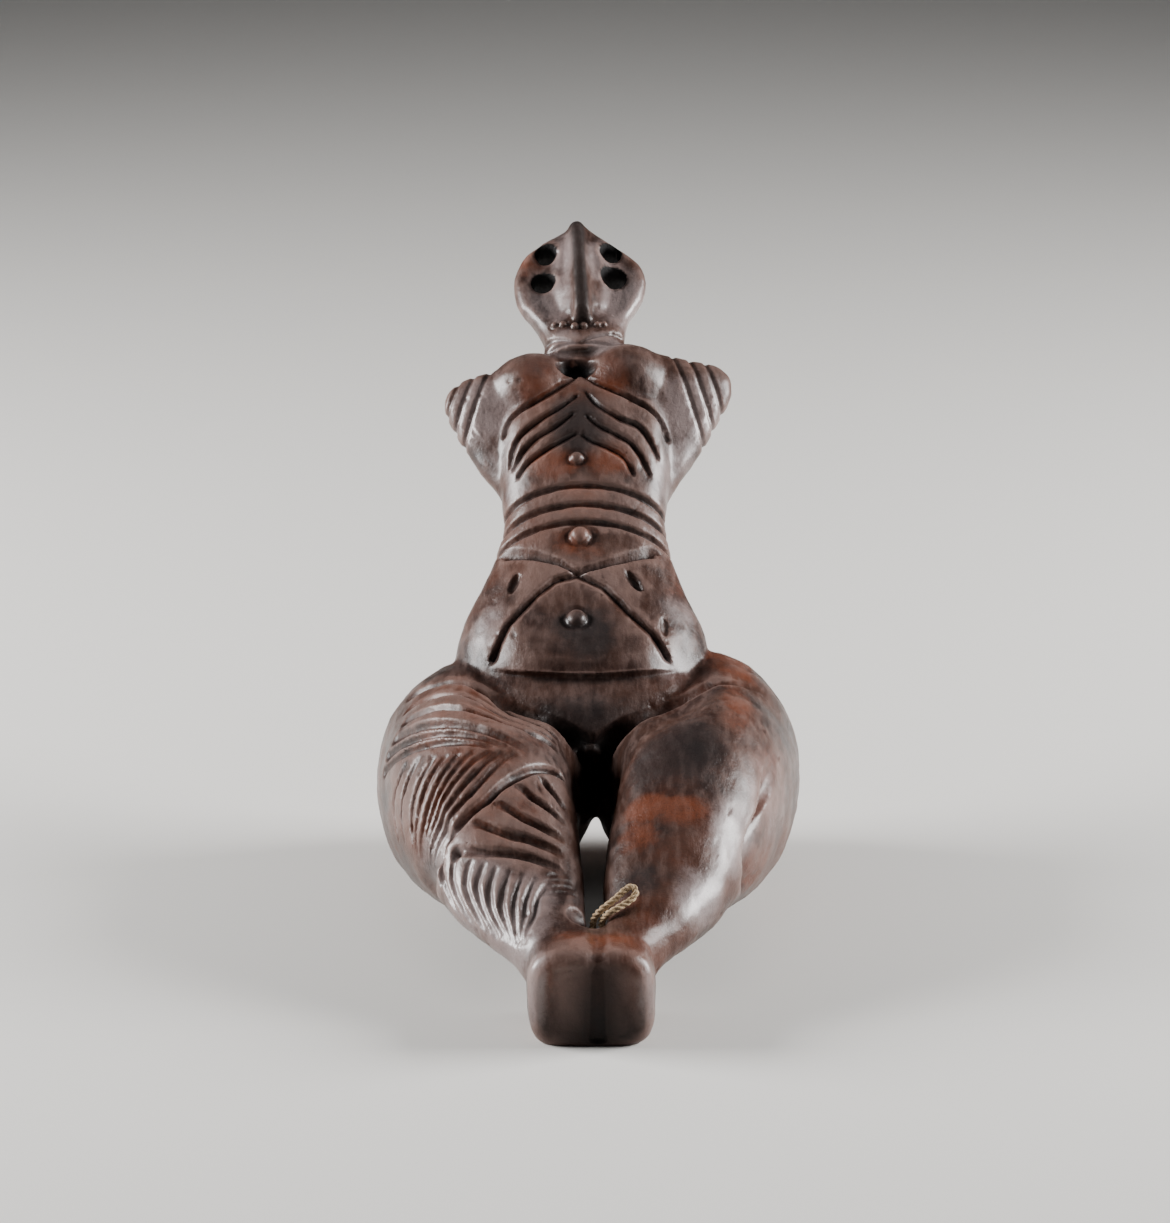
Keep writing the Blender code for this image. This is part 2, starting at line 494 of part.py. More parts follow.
def carve_trunk(place, facing):
    """The chest's lines, the belly's crossing, the apron's raised edge and the pellets."""
    x, up, cut = place[:, 0] - TRUNK_ASIDE, place[:, 1], np.zeros(len(place))
    width, depth = GROOVE_WIDTH / PART, GROOVE_DEPTH / PART
    for line in CHEST_LINES:
        distance, share, left = stroke(x, up, supple(np.array(line), 1.0))
        upper = left == (line[-1][0] > line[0][0])
        swell = 0.35 + 0.65 * np.sin(math.pi * (0.08 + 0.84 * share)) ** 0.7
        cut = np.minimum(cut, slanted_trough(distance, upper, width * CHEST_LINE_WIDTH * swell,
                                             depth * CHEST_LINE_DEPTH * swell))
    for line, start, end, steep_left in BELLY_ARMS:
        distance, share, left = stroke(x, up, line)
        swell = width * (start + (end - start) * share)
        cut = np.minimum(cut, slanted_trough(distance, left == steep_left, swell, depth * BELLY_ARM_DEPTH))
    edge = APRON_EDGE + APRON_SWEEP * (x / APRON_HALF) ** 2
    step = ramp(up, edge - 0.3, edge + 0.6) * (1 - ramp(up, edge + 3, edge + 16))
    cut += APRON_STEP / PART * step * (1 - ramp(np.abs(x), *APRON_SIDES))
    for bx, at, share in TRUNK_PELLETS:
        distance = np.hypot(x - bx, up - at)
        cut += bead(distance, share * NAVEL_PELLET_DIAMETER / PART, share * PELLET_RISE / PART)
    for bx, at, wide, long, lean, deep in BELLY_OVALS:
        oval = np.hypot((x - bx - lean * (up - at)) / wide, (up - at) / long)
        cut -= deep * np.clip(1 - oval ** 4, 0, 1)
    (hx, at), wide, long, deep = THROAT_HOLLOW
    cut -= deep * np.clip(1 - ((x - hx) / wide) ** 2 - ((up - at) / long) ** 2, 0, 1)
    return cut * ramp(facing, 0.05, 0.35)


def carve_waist(place):
    """Bands right round the waist."""
    x, up, cut = place[:, 0] - TRUNK_ASIDE, place[:, 1], np.zeros(len(place))
    for middle in WAIST_BANDS:
        run = np.linspace(-1.1, 1.1, 13)
        distance, _, _ = stroke(x, up, [(WAIST_SIDE * v, middle - WAIST_SAG * v * v) for v in run])
        cut = np.minimum(cut, trough(distance, WAIST_WIDTH * GROOVE_WIDTH / PART, GROOVE_DEPTH / PART))
    return cut


def carve_groin(place, facing):
    """The folds where the thighs leave the belly."""
    x, up, cut = place[:, 0], place[:, 1], np.zeros(len(place))
    for line in GROIN_FOLDS:
        distance, share, _ = stroke(x, up, line)
        width = GROIN_WIDTHS[0] + (GROIN_WIDTHS[1] - GROIN_WIDTHS[0]) * share
        cut = np.minimum(cut, trough(distance, width, GROIN_DEPTH * np.sin(math.pi * (0.3 + 0.68 * share))))
    return cut * ramp(facing, 0.0, 0.3)


def carve_arms(place):
    """Three rings around each stump of an arm."""
    cut = np.zeros(len(place))
    slant = math.radians(ARM_SLANT_DEG)
    for side, rings in ARM_RINGS:
        reach = side * place[:, 0] * math.cos(slant) + (place[:, 1] - ARM_MIDDLE) * math.sin(slant)
        for at in rings:
            distance = np.abs(reach - at)
            cut = np.minimum(cut, trough(distance, ARM_RING_WIDTH * GROOVE_WIDTH / PART,
                                         ARM_RING_DEPTH * GROOVE_DEPTH / PART))
    return cut * ramp(place[:, 1], *STUMPS_FROM) * (1 - ramp(place[:, 1], *STUMPS_TO))


def carve_head(place, facing):
    """The dished face, the pellets under the nose, the holes' rims and the crossing lines at the throat."""
    x, up = place[:, 0], place[:, 1]
    edge = np.interp(up, [row[0] for row in HEAD], [row[1] for row in HEAD])
    rim = np.abs(x) / edge
    cut = -FACE_DISH * ramp(rim, 0.3, 0.5) * (1 - ramp(rim, 0.6, 0.95))
    cut *= ramp(up, *FACE_FROM) * (1 - ramp(up, *FACE_TO))
    for bx, at, share in MOUTH_PELLETS:
        cut += bead(np.hypot(x - bx, up - at), share * MOUTH_PELLET_DIAMETER / PART, share * 0.8)
    for bx, at, share in EYE_HOLES:
        beyond = np.hypot(x - bx, up - at) - share * EYE_HOLE_DIAMETER / PART / 2
        cut -= RIM_DEPTH * np.clip(1 - beyond / RIM_REACH, 0, 1) ** 2
    lines = np.zeros(len(place))
    cx, cy = THROAT_CROSSING
    for side in (-1, 1):
        for rise in THROAT_RISES:
            line = [(cx + side * v, cy + rise * v - 0.02 * v * v) for v in (0, 3, 6, 9)]
            distance, _, _ = stroke(x, up, line)
            lines = np.minimum(lines, trough(distance, THROAT_LINE_WIDTH, THROAT_LINE_DEPTH))
    return (cut + lines) * ramp(facing, 0.1, 0.4)


def carve_knees(place):
    """The step behind each shin, where the thigh folds back under the hip."""
    cut = np.zeros(len(place))
    for side, fold in KNEE_FOLDS:
        middle_x, middle_z, _, _ = leg_sizes(place[:, 1], side)
        turn = np.degrees(np.arctan2(side * (place[:, 0] - middle_x), place[:, 2] - middle_z))
        behind = place[:, 1] - curve_through(fold, np.clip(turn, fold[0][0], fold[-1][0]))[:, 0]
        step = ramp(behind, -0.4, 1.0) * (1 - ramp(behind, 1.5, KNEE_FOLD_REACH))
        step *= ramp(turn, *KNEE_FOLD_STARTS) * (1 - ramp(turn, *KNEE_FOLD_ENDS)) * (side * place[:, 0] > 0)
        cut -= KNEE_FOLD_DEPTH * step
    return cut


def carve_leg(place):
    """The grooves that wrap the figure's right leg."""
    middle_x, middle_z, half_x, half_z = leg_sizes(place[:, 1])
    turn = np.arctan2(middle_x - place[:, 0], place[:, 2] - middle_z)
    y, round_leg, cut = place[:, 1], turn * (half_x + half_z) / 2, np.zeros(len(place))

    def on_leg(points):
        _, _, wide, high = leg_sizes(np.array([point[0] for point in points], float))
        return [(point[0], math.radians(point[1]) * (w + h) / 2) for point, w, h in zip(points, wide, high)]

    for count, width, depth, *lines in LEG_FAMILIES:
        for k in range(count):
            spot = k / (count - 1) * (len(lines) - 1)
            before = min(int(spot), len(lines) - 2)
            share = spot - before
            line = np.array(lines[before]) * (1 - share) + np.array(lines[before + 1]) * share
            distance, along, _ = stroke(y, round_leg, on_leg(supple(line, LEG_LINE_STEP)))
            swell = depth * (0.15 + 0.85 * np.sin(math.pi * (0.04 + 0.92 * along)) ** 0.7)
            cut = np.minimum(cut, trough(distance, width * GROOVE_WIDTH / PART, swell * GROOVE_DEPTH / PART))
    distance, _, _ = stroke(y, round_leg, on_leg(KNEE_LINE))
    cut = np.minimum(cut, trough(distance, GROOVE_WIDTH / PART, KNEE_LINE_SHARE * GROOVE_DEPTH / PART))
    for spot, radius, depth in LEG_STABS:
        at, turned = on_leg([spot])[0]
        cut -= depth * np.clip(1 - np.hypot(y - at, round_leg - turned) / radius, 0, 1)
    return cut * ramp(-place[:, 0], 0.5, 2.0) * (1 - ramp(place[:, 1], 15, 18)) * ramp(place[:, 2], 2, 5)


def carve_feet(place):
    """The seam between the two joined feet."""
    cut = trough(np.abs(place[:, 0] - GAP_MIDDLE), SEAM_WIDTH, SEAM_DEPTH)
    return cut * ramp(-place[:, 1], *(-y for y in SEAM_FROM)) * ramp(place[:, 2], *SEAM_ABOVE)


def carve(obj):
    """Vertices near a line of the carving move in along their own normals."""
    mesh = obj.data
    co, normal = np.empty(len(mesh.vertices) * 3), np.empty(len(mesh.vertices) * 3)
    mesh.vertices.foreach_get("co", co)
    mesh.vertices.foreach_get("normal", normal)
    co, normal = co.reshape(-1, 3), normal.reshape(-1, 3)
    place = co / PART
    y, z = place[:, 1] - CROTCH[0], place[:, 2] - CROTCH[1]
    trunk = np.column_stack([place[:, 0], y * UP_TRUNK[0] + z * UP_TRUNK[1]])
    back = y * OUT_BACK[0] + z * OUT_BACK[1]
    facing = -(normal[:, 1] * OUT_BACK[0] + normal[:, 2] * OUT_BACK[1])
    chin, side, upward, outward = (np.array(vector) for vector in head_frame())
    head = np.column_stack([(place - chin) @ side, (place - chin) @ upward])
    below_neck = (1 - ramp(trunk[:, 1], *CHEST_TO)) * (back < BACK_DEPTH)
    push = carve_trunk(trunk, facing) * below_neck * (back < FRONT_DEPTH) * ramp(trunk[:, 1], *BELLY_FROM)
    push += carve_waist(trunk) * below_neck * (trunk[:, 1] > WAIST_FROM)
    push += carve_groin(trunk, facing) * (trunk[:, 1] < GROIN_TO)
    push += carve_arms(trunk) * (np.abs(place[:, 0]) > STUMPS_ASIDE)
    push += carve_head(head, normal @ outward) * ramp(head[:, 1], *CHIN_FROM)
    off_belly = 1 - ramp(trunk[:, 1] - BELLY_CORNER * np.abs(place[:, 0]), 0, 1.5) * (facing > 0.4)
    push += carve_leg(place) * off_belly + carve_knees(place) + carve_feet(place)
    mouth, radius, depth = HOLE_MOUTH
    push -= depth * np.clip(1 - np.sum((place - mouth) ** 2, axis=1) / radius ** 2, 0, 1)
    co += normal * (push * PART)[:, None]
    mesh.vertices.foreach_set("co", co.ravel())
    mesh.update()


def cut_flat(obj):
    """The underside is flat where the figure was set down while the clay was soft."""
    bm = bmesh.new()
    bm.from_mesh(obj.data)
    everything = bm.verts[:] + bm.edges[:] + bm.faces[:]
    cut = bmesh.ops.bisect_plane(bm, geom=everything, dist=1e-7, plane_co=(0, 0, 0), plane_no=(0, 0, -1),
                                 clear_outer=True)
    rim = [edge for edge in cut["geom_cut"] if isinstance(edge, bmesh.types.BMEdge)]
    bmesh.ops.contextual_create(bm, geom=rim)
    bmesh.ops.triangulate(bm, faces=bm.faces)
    bmesh.ops.recalc_face_normals(bm, faces=bm.faces)
    bm.to_mesh(obj.data)
    bm.free()


def thin_out(obj):
    """Fewer, larger triangles where the skin is plain, with the rests kept true."""
    thin = obj.modifiers.new("fewer faces", "DECIMATE")
    thin.ratio = SOLID_TRIANGLES / len(obj.data.polygons)
    apply_modifiers(obj)
    for vertex in obj.data.vertices:
        if vertex.co.z < REST_SLACK:
            vertex.co.z = 0


def drill_eyes(obj):
    """Four holes right through the head."""
    _, _, upward, outward = head_frame()
    steeper = math.radians(DRILL_STEEPER_DEG)
    along = outward * math.cos(steeper) + upward * math.sin(steeper)
    turn = along.to_track_quat("Z", "X").to_matrix().to_4x4()
    bm = bmesh.new()
    for x, up, share in EYE_HOLES:
        radius = share * EYE_HOLE_DIAMETER / 2
        place = Matrix.Translation(on_head(up, x) * PART) @ turn
        bmesh.ops.create_cone(bm, cap_ends=True, segments=24, radius1=radius, radius2=radius,
                              depth=DRILL_LENGTH * PART, matrix=place)
    drills = object_from("drills", bm)
    cut = obj.modifiers.new("eye holes", "BOOLEAN")
    cut.operation, cut.object, cut.solver = "DIFFERENCE", drills, "EXACT"
    apply_modifiers(obj)
    bpy.data.objects.remove(drills)


def twine_object():
    """The bight of twine, one bent tube with closed ends."""
    curve = bpy.data.curves.new("twine", "CURVE")
    curve.dimensions = "3D"
    curve.bevel_depth, curve.bevel_resolution, curve.use_fill_caps = TWINE_DIAMETER / 2, 2, True
    points = supple(np.array(TWINE_ROUTE), TWINE_STEP / PART)
    spline = curve.splines.new("POLY")
    spline.points.add(len(points) - 1)
    for place, point in zip(spline.points, points):
        place.co = (*(point * PART), 1)
    made = bpy.data.objects.new("twine", curve)
    bpy.context.scene.collection.objects.link(made)
    graph = bpy.context.evaluated_depsgraph_get()
    mesh = bpy.data.meshes.new_from_object(made.evaluated_get(graph))
    bpy.data.objects.remove(made)
    twine = bpy.data.objects.new("twine", mesh)
    bpy.context.scene.collection.objects.link(twine)
    bm = bmesh.new()
    bm.from_mesh(mesh)
    bmesh.ops.remove_doubles(bm, verts=bm.verts, dist=1e-6)
    bmesh.ops.recalc_face_normals(bm, faces=bm.faces)
    bm.to_mesh(mesh)
    bm.free()
    return twine


def set_down(figure, pieces):
    """Everything moves so that the figure's box stands centred on the origin."""
    corners = np.array([tuple(vertex.co) for vertex in figure.data.vertices])
    low, high = corners.min(axis=0), corners.max(axis=0)
    shift = Matrix.Translation((-(low[0] + high[0]) / 2, -(low[1] + high[1]) / 2, -low[2]))
    for piece in pieces:
        piece.data.transform(shift)
        piece.data.update()


def material(name, colour, roughness):
    made = bpy.data.materials.new(name)
    made.use_nodes = True
    shader = made.node_tree.nodes["Principled BSDF"]
    shader.inputs["Base Color"].default_value = (*colour, 1)
    shader.inputs["Roughness"].default_value = roughness
    return made


def main():
    for old in list(bpy.data.objects):
        bpy.data.objects.remove(old)
    figure = joined("figurine", [body_object(), head_object(), nose_object()])
    melted(figure)
    carve(figure)
    cut_flat(figure)
    thin_out(figure)
    drill_eyes(figure)
    twine = twine_object()
    set_down(figure, [figure, twine])
    for piece, finish in ((figure, material("burnished clay", (0.12, 0.075, 0.06), 0.42)),
                          (twine, material("twine", (0.38, 0.25, 0.15), 0.85))):
        piece.data.materials.clear()
        piece.data.materials.append(finish)
    return figure


if __name__ == "__main__":
    main()
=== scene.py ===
"""Dresses the mother goddess figurine: burnished clay with its carving, a twisted twine and a studio stage.

Metres, +Z up. The figure lies along Y with its feet at -Y and its head at +Y.
Its proportions are counted in 188ths of its length, as in the part's own source.
"""

import math

import bmesh
import bpy
import numpy as np
from bpy.props import FloatProperty, FloatVectorProperty, IntProperty, PointerProperty
from bpy.types import Operator, Panel, PropertyGroup
from mathutils import Matrix, Vector, noise


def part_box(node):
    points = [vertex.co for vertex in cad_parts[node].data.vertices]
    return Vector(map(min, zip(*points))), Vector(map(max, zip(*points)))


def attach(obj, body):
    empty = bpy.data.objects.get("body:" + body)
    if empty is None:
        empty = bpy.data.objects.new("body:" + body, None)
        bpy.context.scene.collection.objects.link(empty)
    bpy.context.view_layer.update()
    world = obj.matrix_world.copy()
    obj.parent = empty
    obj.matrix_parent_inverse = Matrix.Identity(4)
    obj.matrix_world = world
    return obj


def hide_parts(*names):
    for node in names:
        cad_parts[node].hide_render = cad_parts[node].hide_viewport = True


bl_info = {
    "name": "Mother goddess figurine",
    "version": (1, 0, 0),
    "blender": (4, 5, 0),
    "location": "3D View > Sidebar > Figurine",
    "description": "Builds the clay figurine, the twine at its feet and a plain studio stage",
    "category": "Object",
}

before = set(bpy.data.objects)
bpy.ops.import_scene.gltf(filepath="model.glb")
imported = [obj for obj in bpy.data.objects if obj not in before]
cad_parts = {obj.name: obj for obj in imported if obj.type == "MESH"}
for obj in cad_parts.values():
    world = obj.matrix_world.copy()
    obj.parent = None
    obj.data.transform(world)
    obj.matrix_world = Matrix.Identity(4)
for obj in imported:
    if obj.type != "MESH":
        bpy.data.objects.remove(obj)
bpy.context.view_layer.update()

# The figure's and the carving's driving sizes, in metres, with its leans and tilts in degrees.
FIGURE_LENGTH = 0.188
LEAN_DEG = 47.0
HEAD_LEAN_DEG = 55.0
HEAD_ROLL_DEG = 2.6
SHOULDER_TILT_DEG = 4.5
EYE_HOLE_DIAMETER = 0.0050
NAVEL_PELLET_DIAMETER = 0.0038
MOUTH_PELLET_DIAMETER = 0.0018
PELLET_RISE = 0.0014
# The ring of clay pressed in around a pellet: radius, half width and depth, as shares of the pellet's sizes.
PRESSED_RING = 0.66
PRESSED_WIDTH = 0.3
PRESSED_DEPTH = 0.3
GROOVE_WIDTH = 0.0023
GROOVE_DEPTH = 0.0010
# How sharply a groove's sides turn down; and a slanted groove's steep side, as a share of its width.
TROUGH_POWER = 1.3
STEEP_SHARE = 0.3
SLOPE_POWER = 1.15
APRON_STEP = 0.0015
LEG_GAP_WIDTH = 0.0082
TWINE_DIAMETER = 0.0013
TWINE_CLEARANCE = 0.0004
# Skin this near the surface that the figure rests on is flat on it.
REST_SLACK = 0.00006
# Above that, the wear of the skin comes in over this height.
REST_FADE = 0.001

# The figure's proportions are counted in 188ths of its length as it lies.
LENGTH_PARTS = 188
PART = FIGURE_LENGTH / LENGTH_PARTS
RING_POINTS = 40
STATION_STEP = 1.5
LINE_STEP = 1.0
# How square each kind of cross-section is, from 2, an ellipse.
PELVIS_POWER = 2.8
BELLY_POWER = 2.3
SHOULDER_POWER = 2.2
LEG_POWER = 2.1
FEET_POWER = 3.6
HEAD_POWER = 2.6
NOSE_POWER = 2.8
VOXEL = 0.42 * PART
SMOOTH_ROUNDS = 29
SMOOTH_FACTOR = 0.5
SKIN_TRIANGLES = 188000

# The trunk's frame, in the figure's middle plane: the crotch, the way up the trunk, the way out of its back.
CROTCH = (-5.0, 30.0)
LEAN = math.radians(LEAN_DEG)
UP_TRUNK = (math.sin(LEAN), math.cos(LEAN))
OUT_BACK = (math.cos(LEAN), -math.sin(LEAN))
HEAD_LEAN = math.radians(HEAD_LEAN_DEG)
UP_HEAD = (math.sin(HEAD_LEAN), math.cos(HEAD_LEAN))
OUT_FACE = (-math.cos(HEAD_LEAN), math.sin(HEAD_LEAN))
CHIN_UP = 98.0
CHIN_BACK = 7.0
# The trunk sits this far to the figure's right of the legs' middle.
TRUNK_ASIDE = -0.6
GAP_MIDDLE = 1.6

# Up the trunk: half width, how far the front stands out, how far the back lies behind the front line, and how
# far the section sits to the side.
PELVIS = ((-0.5, 3, -0.5, 22, 1), (3.2, 7.5, 0.8, 26, 1), (7.5, 15.5, 1.6, 30, 0.6), (12, 22.5, 1.2, 30, 0),
          (16, 25.4, 0.2, 30, 0), (24, 23, -2.5, 27, 0))
BELLY = ((13, 18.5, -0.9, 28, -0.8), (15.5, 22.4, 0.6, 28, -0.8), (19, 24.4, 1.8, 28, -0.7),
         (26, 24.9, 2.5, 27, -0.5), (32, 23.8, 2.0, 25, -0.4), (36, 21.9, 1.5, 23, -0.5),
         (46, 18.1, 0.3, 20, -0.3), (55, 16.2, 0, 19, 0), (66, 17, 0.6, 18.5, 0), (76, 17.6, 0.8, 17.5, 0),
         (84, 16.5, -0.4, 17, 0), (90, 12, -2.6, 15, 0), (95, 8.8, -3.2, 13.5, 0), (100, 8.1, -3.2, 13, 0),
         (104, 7.6, -4.0, 12.5, 0))
SHOULDERS = ((56, 13.5, -6.0, 14, 0.8), (64, 17.5, -5.0, 15.5, 0.8), (72, 22.6, -4.2, 15.5, 0.8),
             (80, 27, -3.2, 15, 0.8), (86, 29.6, -2.2, 14, 0.8), (90, 28.6, -2.2, 13, 0.8),
             (92.8, 21, -2.8, 12, 0.8), (95.5, 12, -3.6, 11, 0.8))
# The hole above the feet takes two strands of twine side by side.
HOLE_WIDTH = 2 * TWINE_DIAMETER + 3 * TWINE_CLEARANCE
STRAND_ASIDE = (TWINE_DIAMETER + TWINE_CLEARANCE) / 2 / PART
# Along Y: outer edge, the gap between the legs from 0, the hole's width, to 1, its widest, underside, top.
LEG = ((35.6, 21, 5.0, 16, 26), (33, 28.6, 3.0, 10.5, 32), (28, 34.8, 1.2, 5.4, 37),
       (20, 39.2, -0.4, 1.2, 40.2), (12, 40.8, -1.0, -0.9, 41.0), (4, 40.9, -1.2, -1.2, 41.0),
       (-4, 40.4, 0.3, -0.8, 41.4), (-10, 39.7, 0.8, -0.2, 42.0), (-16, 38.6, 1.0, 0.8, 42.2),
       (-24, 36.8, 0.93, 2.8, 41), (-32, 34.6, 0.75, 4.8, 38.4), (-40, 31.8, 0.55, 6.8, 34.6),
       (-50, 28.2, 0.3, 8.6, 29.2), (-58, 24.6, 0.1, 8.8, 24.2), (-66, 19.4, 0.0, 8.6, 20.2),
       (-72, 14.4, -1.05, 7.0, 18), (-80, 9.6, -1.4, 2.0, 17))
# Along Y: how much further out, inward and up the figure's left hip and leg reach than its right.
LEFT_HIP = ((35.6, 1.2, 0, 3.8), (28, 1.2, 0, 2.6), (20, 0.9, 0, 1.2), (8, 0.3, 0, 0.4), (-6, -0.2, 0, 0.2),
            (-16, -0.4, 0, 0), (-32, -0.5, 0.5, 0), (-44, -0.5, 1.1, 0), (-54, -0.2, 1.2, 0),
            (-60, 0, 0.7, 0), (-65, 0, 0, 0), (-80, 0, 0, 0))
# Along Y: how far the thigh's upper side falls away towards the groin, as a share of its half height; and how
# far across the thigh that fall begins, outward of its middle.
THIGH_FALL = ((35.6, 0.0), (24, 0.05), (14, 0.16), (4, 0.24), (-4, 0.22), (-14, 0.17), (-30, 0.0), (-80, 0.0))
FALL_OUTWARD = 0.3
# Along Y: half width, middle height, half height of the joined feet.
FEET = ((-69, 8.5, 8.4, 7.2), (-75, 10.8, 8.2, 9.0), (-82, 11.3, 8.1, 9.5), (-86, 11.0, 8.0, 9.2),
        (-87.5, 9.6, 7.8, 7.7))
FEET_MIDDLE = 0.5
# The seam between the two feet starts softly here, goes on to the toes and stays off the sole.
SEAM_WIDTH = 4.4
SEAM_DEPTH = 0.6
SEAM_FROM = (-70.0, -75.0)
SEAM_ABOVE = (0.3, 1.2)
# Up the head: half width, half thickness, how far the section sits to the side.
HEAD = ((-4, 7.8, 5.0, 0), (0, 8.1, 4.7, 0), (4, 8.9, 4.2, -0.2), (7.4, 10.1, 3.9, -0.5),
        (11, 12.3, 3.7, -0.6), (15.3, 13.6, 3.6, -0.4), (18.7, 13.9, 3.6, -0.2), (22.7, 12.9, 3.6, -0.2),
        (26.3, 10.2, 3.5, -0.7), (28.8, 7.5, 3.3, -0.7), (31, 4.7, 2.9, -0.3), (33, 2.8, 2.2, 0),
        (34.4, 1.9, 1.6, 0))
NOSE = ((3.4, 1.7, 5.6), (4.3, 1.9, 7.6), (9, 1.9, 8.2), (20, 1.6, 7.9), (29, 1.5, 6.6), (34.0, 1.5, 3.2))
NOSE_ASIDE = -0.3
NOSE_FLANKS = ((4.2, 2.4, 2.6), (7.5, 3.4, 5.0), (12, 3.4, 5.4), (22, 2.9, 5.2), (30, 2.4, 4.2))
DRILL_LENGTH = 30.0
# The holes' worn rims reach this far out and this deep.
RIM_REACH = 0.8
RIM_DEPTH = 0.4
# To the side, up the head, diameter as a share; the holes run down and back, steeper than the face by this.
EYE_HOLES = ((-7.8, 16.5, 1.0), (-7.0, 24.4, 0.93), (6.8, 17.3, 1.06), (6.5, 24.4, 0.92))
DRILL_STEEPER_DEG = 12.0
# Each breast's lobe: to the side, up the trunk; then its radii to the side, out of the back and up.
BREASTS = (((-10.2, 87.0), (10.0, 10.2, 8.9)), ((8.4, 89.0), (10.2, 10.4, 9.2)))
BREAST_BACK = 9.2

# Each field of carving, up the trunk or the head: where it starts or ends, softly where there are two places.
BELLY_FROM = (13.5, 14.5)
WAIST_FROM = 45.0
GROIN_TO = 24.0
CHEST_TO = (93.0, 95.0)
STUMPS_FROM = (62.0, 66.0)
STUMPS_TO = (97.0, 99.0)
CHIN_FROM = (-4.5, -3.0)
# How deep behind the trunk's front line, and how far to the side, the fields reach.
FRONT_DEPTH = 9.0
BACK_DEPTH = 24.0
STUMPS_ASIDE = 16.0
# The belly's lower corners over the thighs climb this much for each part to the side.
BELLY_CORNER = 0.62
# Over this height the leg's grooves give way to the belly, where its skin faces the front more than this.
BELLY_EDGE = 1.5
BELLY_FACING = 0.4
# How much the skin faces the front where each field's carving begins and where it is full.
TRUNK_FACING = (0.05, 0.35)
GROIN_FACING = (0.0, 0.3)
HEAD_FACING = (0.1, 0.4)
# A stroke's least share of its size, at its ends, and how soon it swells; then how fully.
CHEST_SWELL = (0.35, 0.08)
LEG_SWELL = (0.15, 0.04)
SWELL_POWER = 0.7

# The chest's lines, from the breastbone outward: four on the figure's right, then four on its left.
CHEST_LINES = (
    ((-2.2, 86.8), (-3.8, 85.6), (-6.7, 83.1), (-9.1, 81.5), (-11.5, 80.3), (-13.9, 79), (-15.6, 77.3),
     (-16.4, 74.5)),
    ((-1.9, 81.4), (-5.5, 78.4), (-10.3, 75.2), (-13.2, 72.8), (-14.8, 69.9), (-15.2, 67)),
    ((-2.6, 76.6), (-3.8, 75.6), (-6.7, 73.4), (-10.3, 71.3), (-12.7, 68.9), (-14.4, 65.8)),
    ((-1.9, 71.8), (-4.8, 70.3), (-8.4, 68.3), (-11.5, 66.1), (-13.4, 63.5)),
    ((-0.5, 88.1), (2.9, 85.1), (8.8, 82), (13.2, 80), (15.8, 77.3), (16.9, 73.9)),
    ((0.5, 82.3), (2.9, 79), (7.2, 76), (10.9, 74.8), (13.1, 72.3), (14.8, 68.6)),
    ((0.7, 75.9), (2.9, 73.9), (6.4, 72.1), (9.4, 70.4), (11.2, 67.9), (13.1, 64.2)),
    ((-0.2, 71.3), (1.9, 69.9), (5.3, 68.6), (8.1, 66.8), (9.8, 63.2)))
# Their width and depth as shares of a groove's.
CHEST_LINE_WIDTH = 0.95
CHEST_LINE_DEPTH = 1.25
WAIST_BANDS = (59.6, 55.2, 51.0)
# How much the bands droop at the waist's sides, this far out.
WAIST_SAG = 3.0
WAIST_SIDE = 16.0
WAIST_WIDTH = 0.85
# Each band goes on this many times as far as its sides.
WAIST_RUN = 1.1
# The crossing on the belly: each arm's line, its width at either end as shares of a groove's, and whether its
# steep side is on the left of the line.
BELLY_ARMS = ((((-1.4, 38.4), (-5, 40.8), (-10, 43.2), (-15.4, 44.8)), 0.7, 1.5, True),
              (((-1.4, 38.4), (3, 40.0), (7.5, 41.9), (13.0, 44.4)), 0.7, 1.5, False),
              (((-1.4, 38.4), (-6.2, 36.9), (-9.8, 33.4), (-15.2, 26.6), (-18.0, 20.2)), 1.2, 0.9, False),
              (((-1.4, 38.4), (3.8, 35.4), (8.7, 29.3), (13.2, 24.2), (15.9, 20.4)), 1.2, 1.0, True))
BELLY_ARM_DEPTH = 1.3
# The apron's edge: its height in the middle, its rise at the hips this far out, where it fades at the sides.
APRON_EDGE = 14.1
APRON_SWEEP = 3.4
APRON_HALF = 17.0
APRON_SIDES = (11.0, 19.0)
# From its edge, where the apron's step rises and where it sinks into the belly again.
APRON_RISES = (-0.3, 0.6)
APRON_SINKS = (3, 16)
# To the side, up the trunk, size as a share of the navel's pellet.
TRUNK_PELLETS = ((-1.6, 26.9, 1.0), (-0.9, 47.7, 1.0), (-1.6, 65.9, 0.7), (-2.4, 91.3, 0.34))
# The hollow at the throat: middle, half width, half height, depth.
THROAT_HOLLOW = ((-1.6, 89.6), 4.4, 2.7, 2.4)
# The dents beside the crossing: to the side, up the trunk, half width, half length, lean to the side, depth.
BELLY_OVALS = ((-13.8, 36.9, 1.1, 2.6, 0.25, 1.0), (9.7, 37.0, 1.3, 2.6, -0.45, 1.0),
               (15.4, 26.6, 0.9, 2.3, 0, 0.5))
# The folds where the thighs leave the belly: their width at the inner and the outer end, and their depth.
GROIN_WIDTHS = (4.8, 3.8)
GROIN_DEPTH = 2.4
# The part of a half wave that their depth follows: where it starts and how long it is.
GROIN_WAVE = (0.3, 0.68)
GROIN_FOLDS = (((0.5, 0), (-5.5, 3.3), (-13.5, 7.3), (-21, 11.8), (-28.8, 15.5)),
               ((2.0, 0), (6, 3.0), (15.8, 8.5), (23.3, 12.0), (32.7, 13.5)))
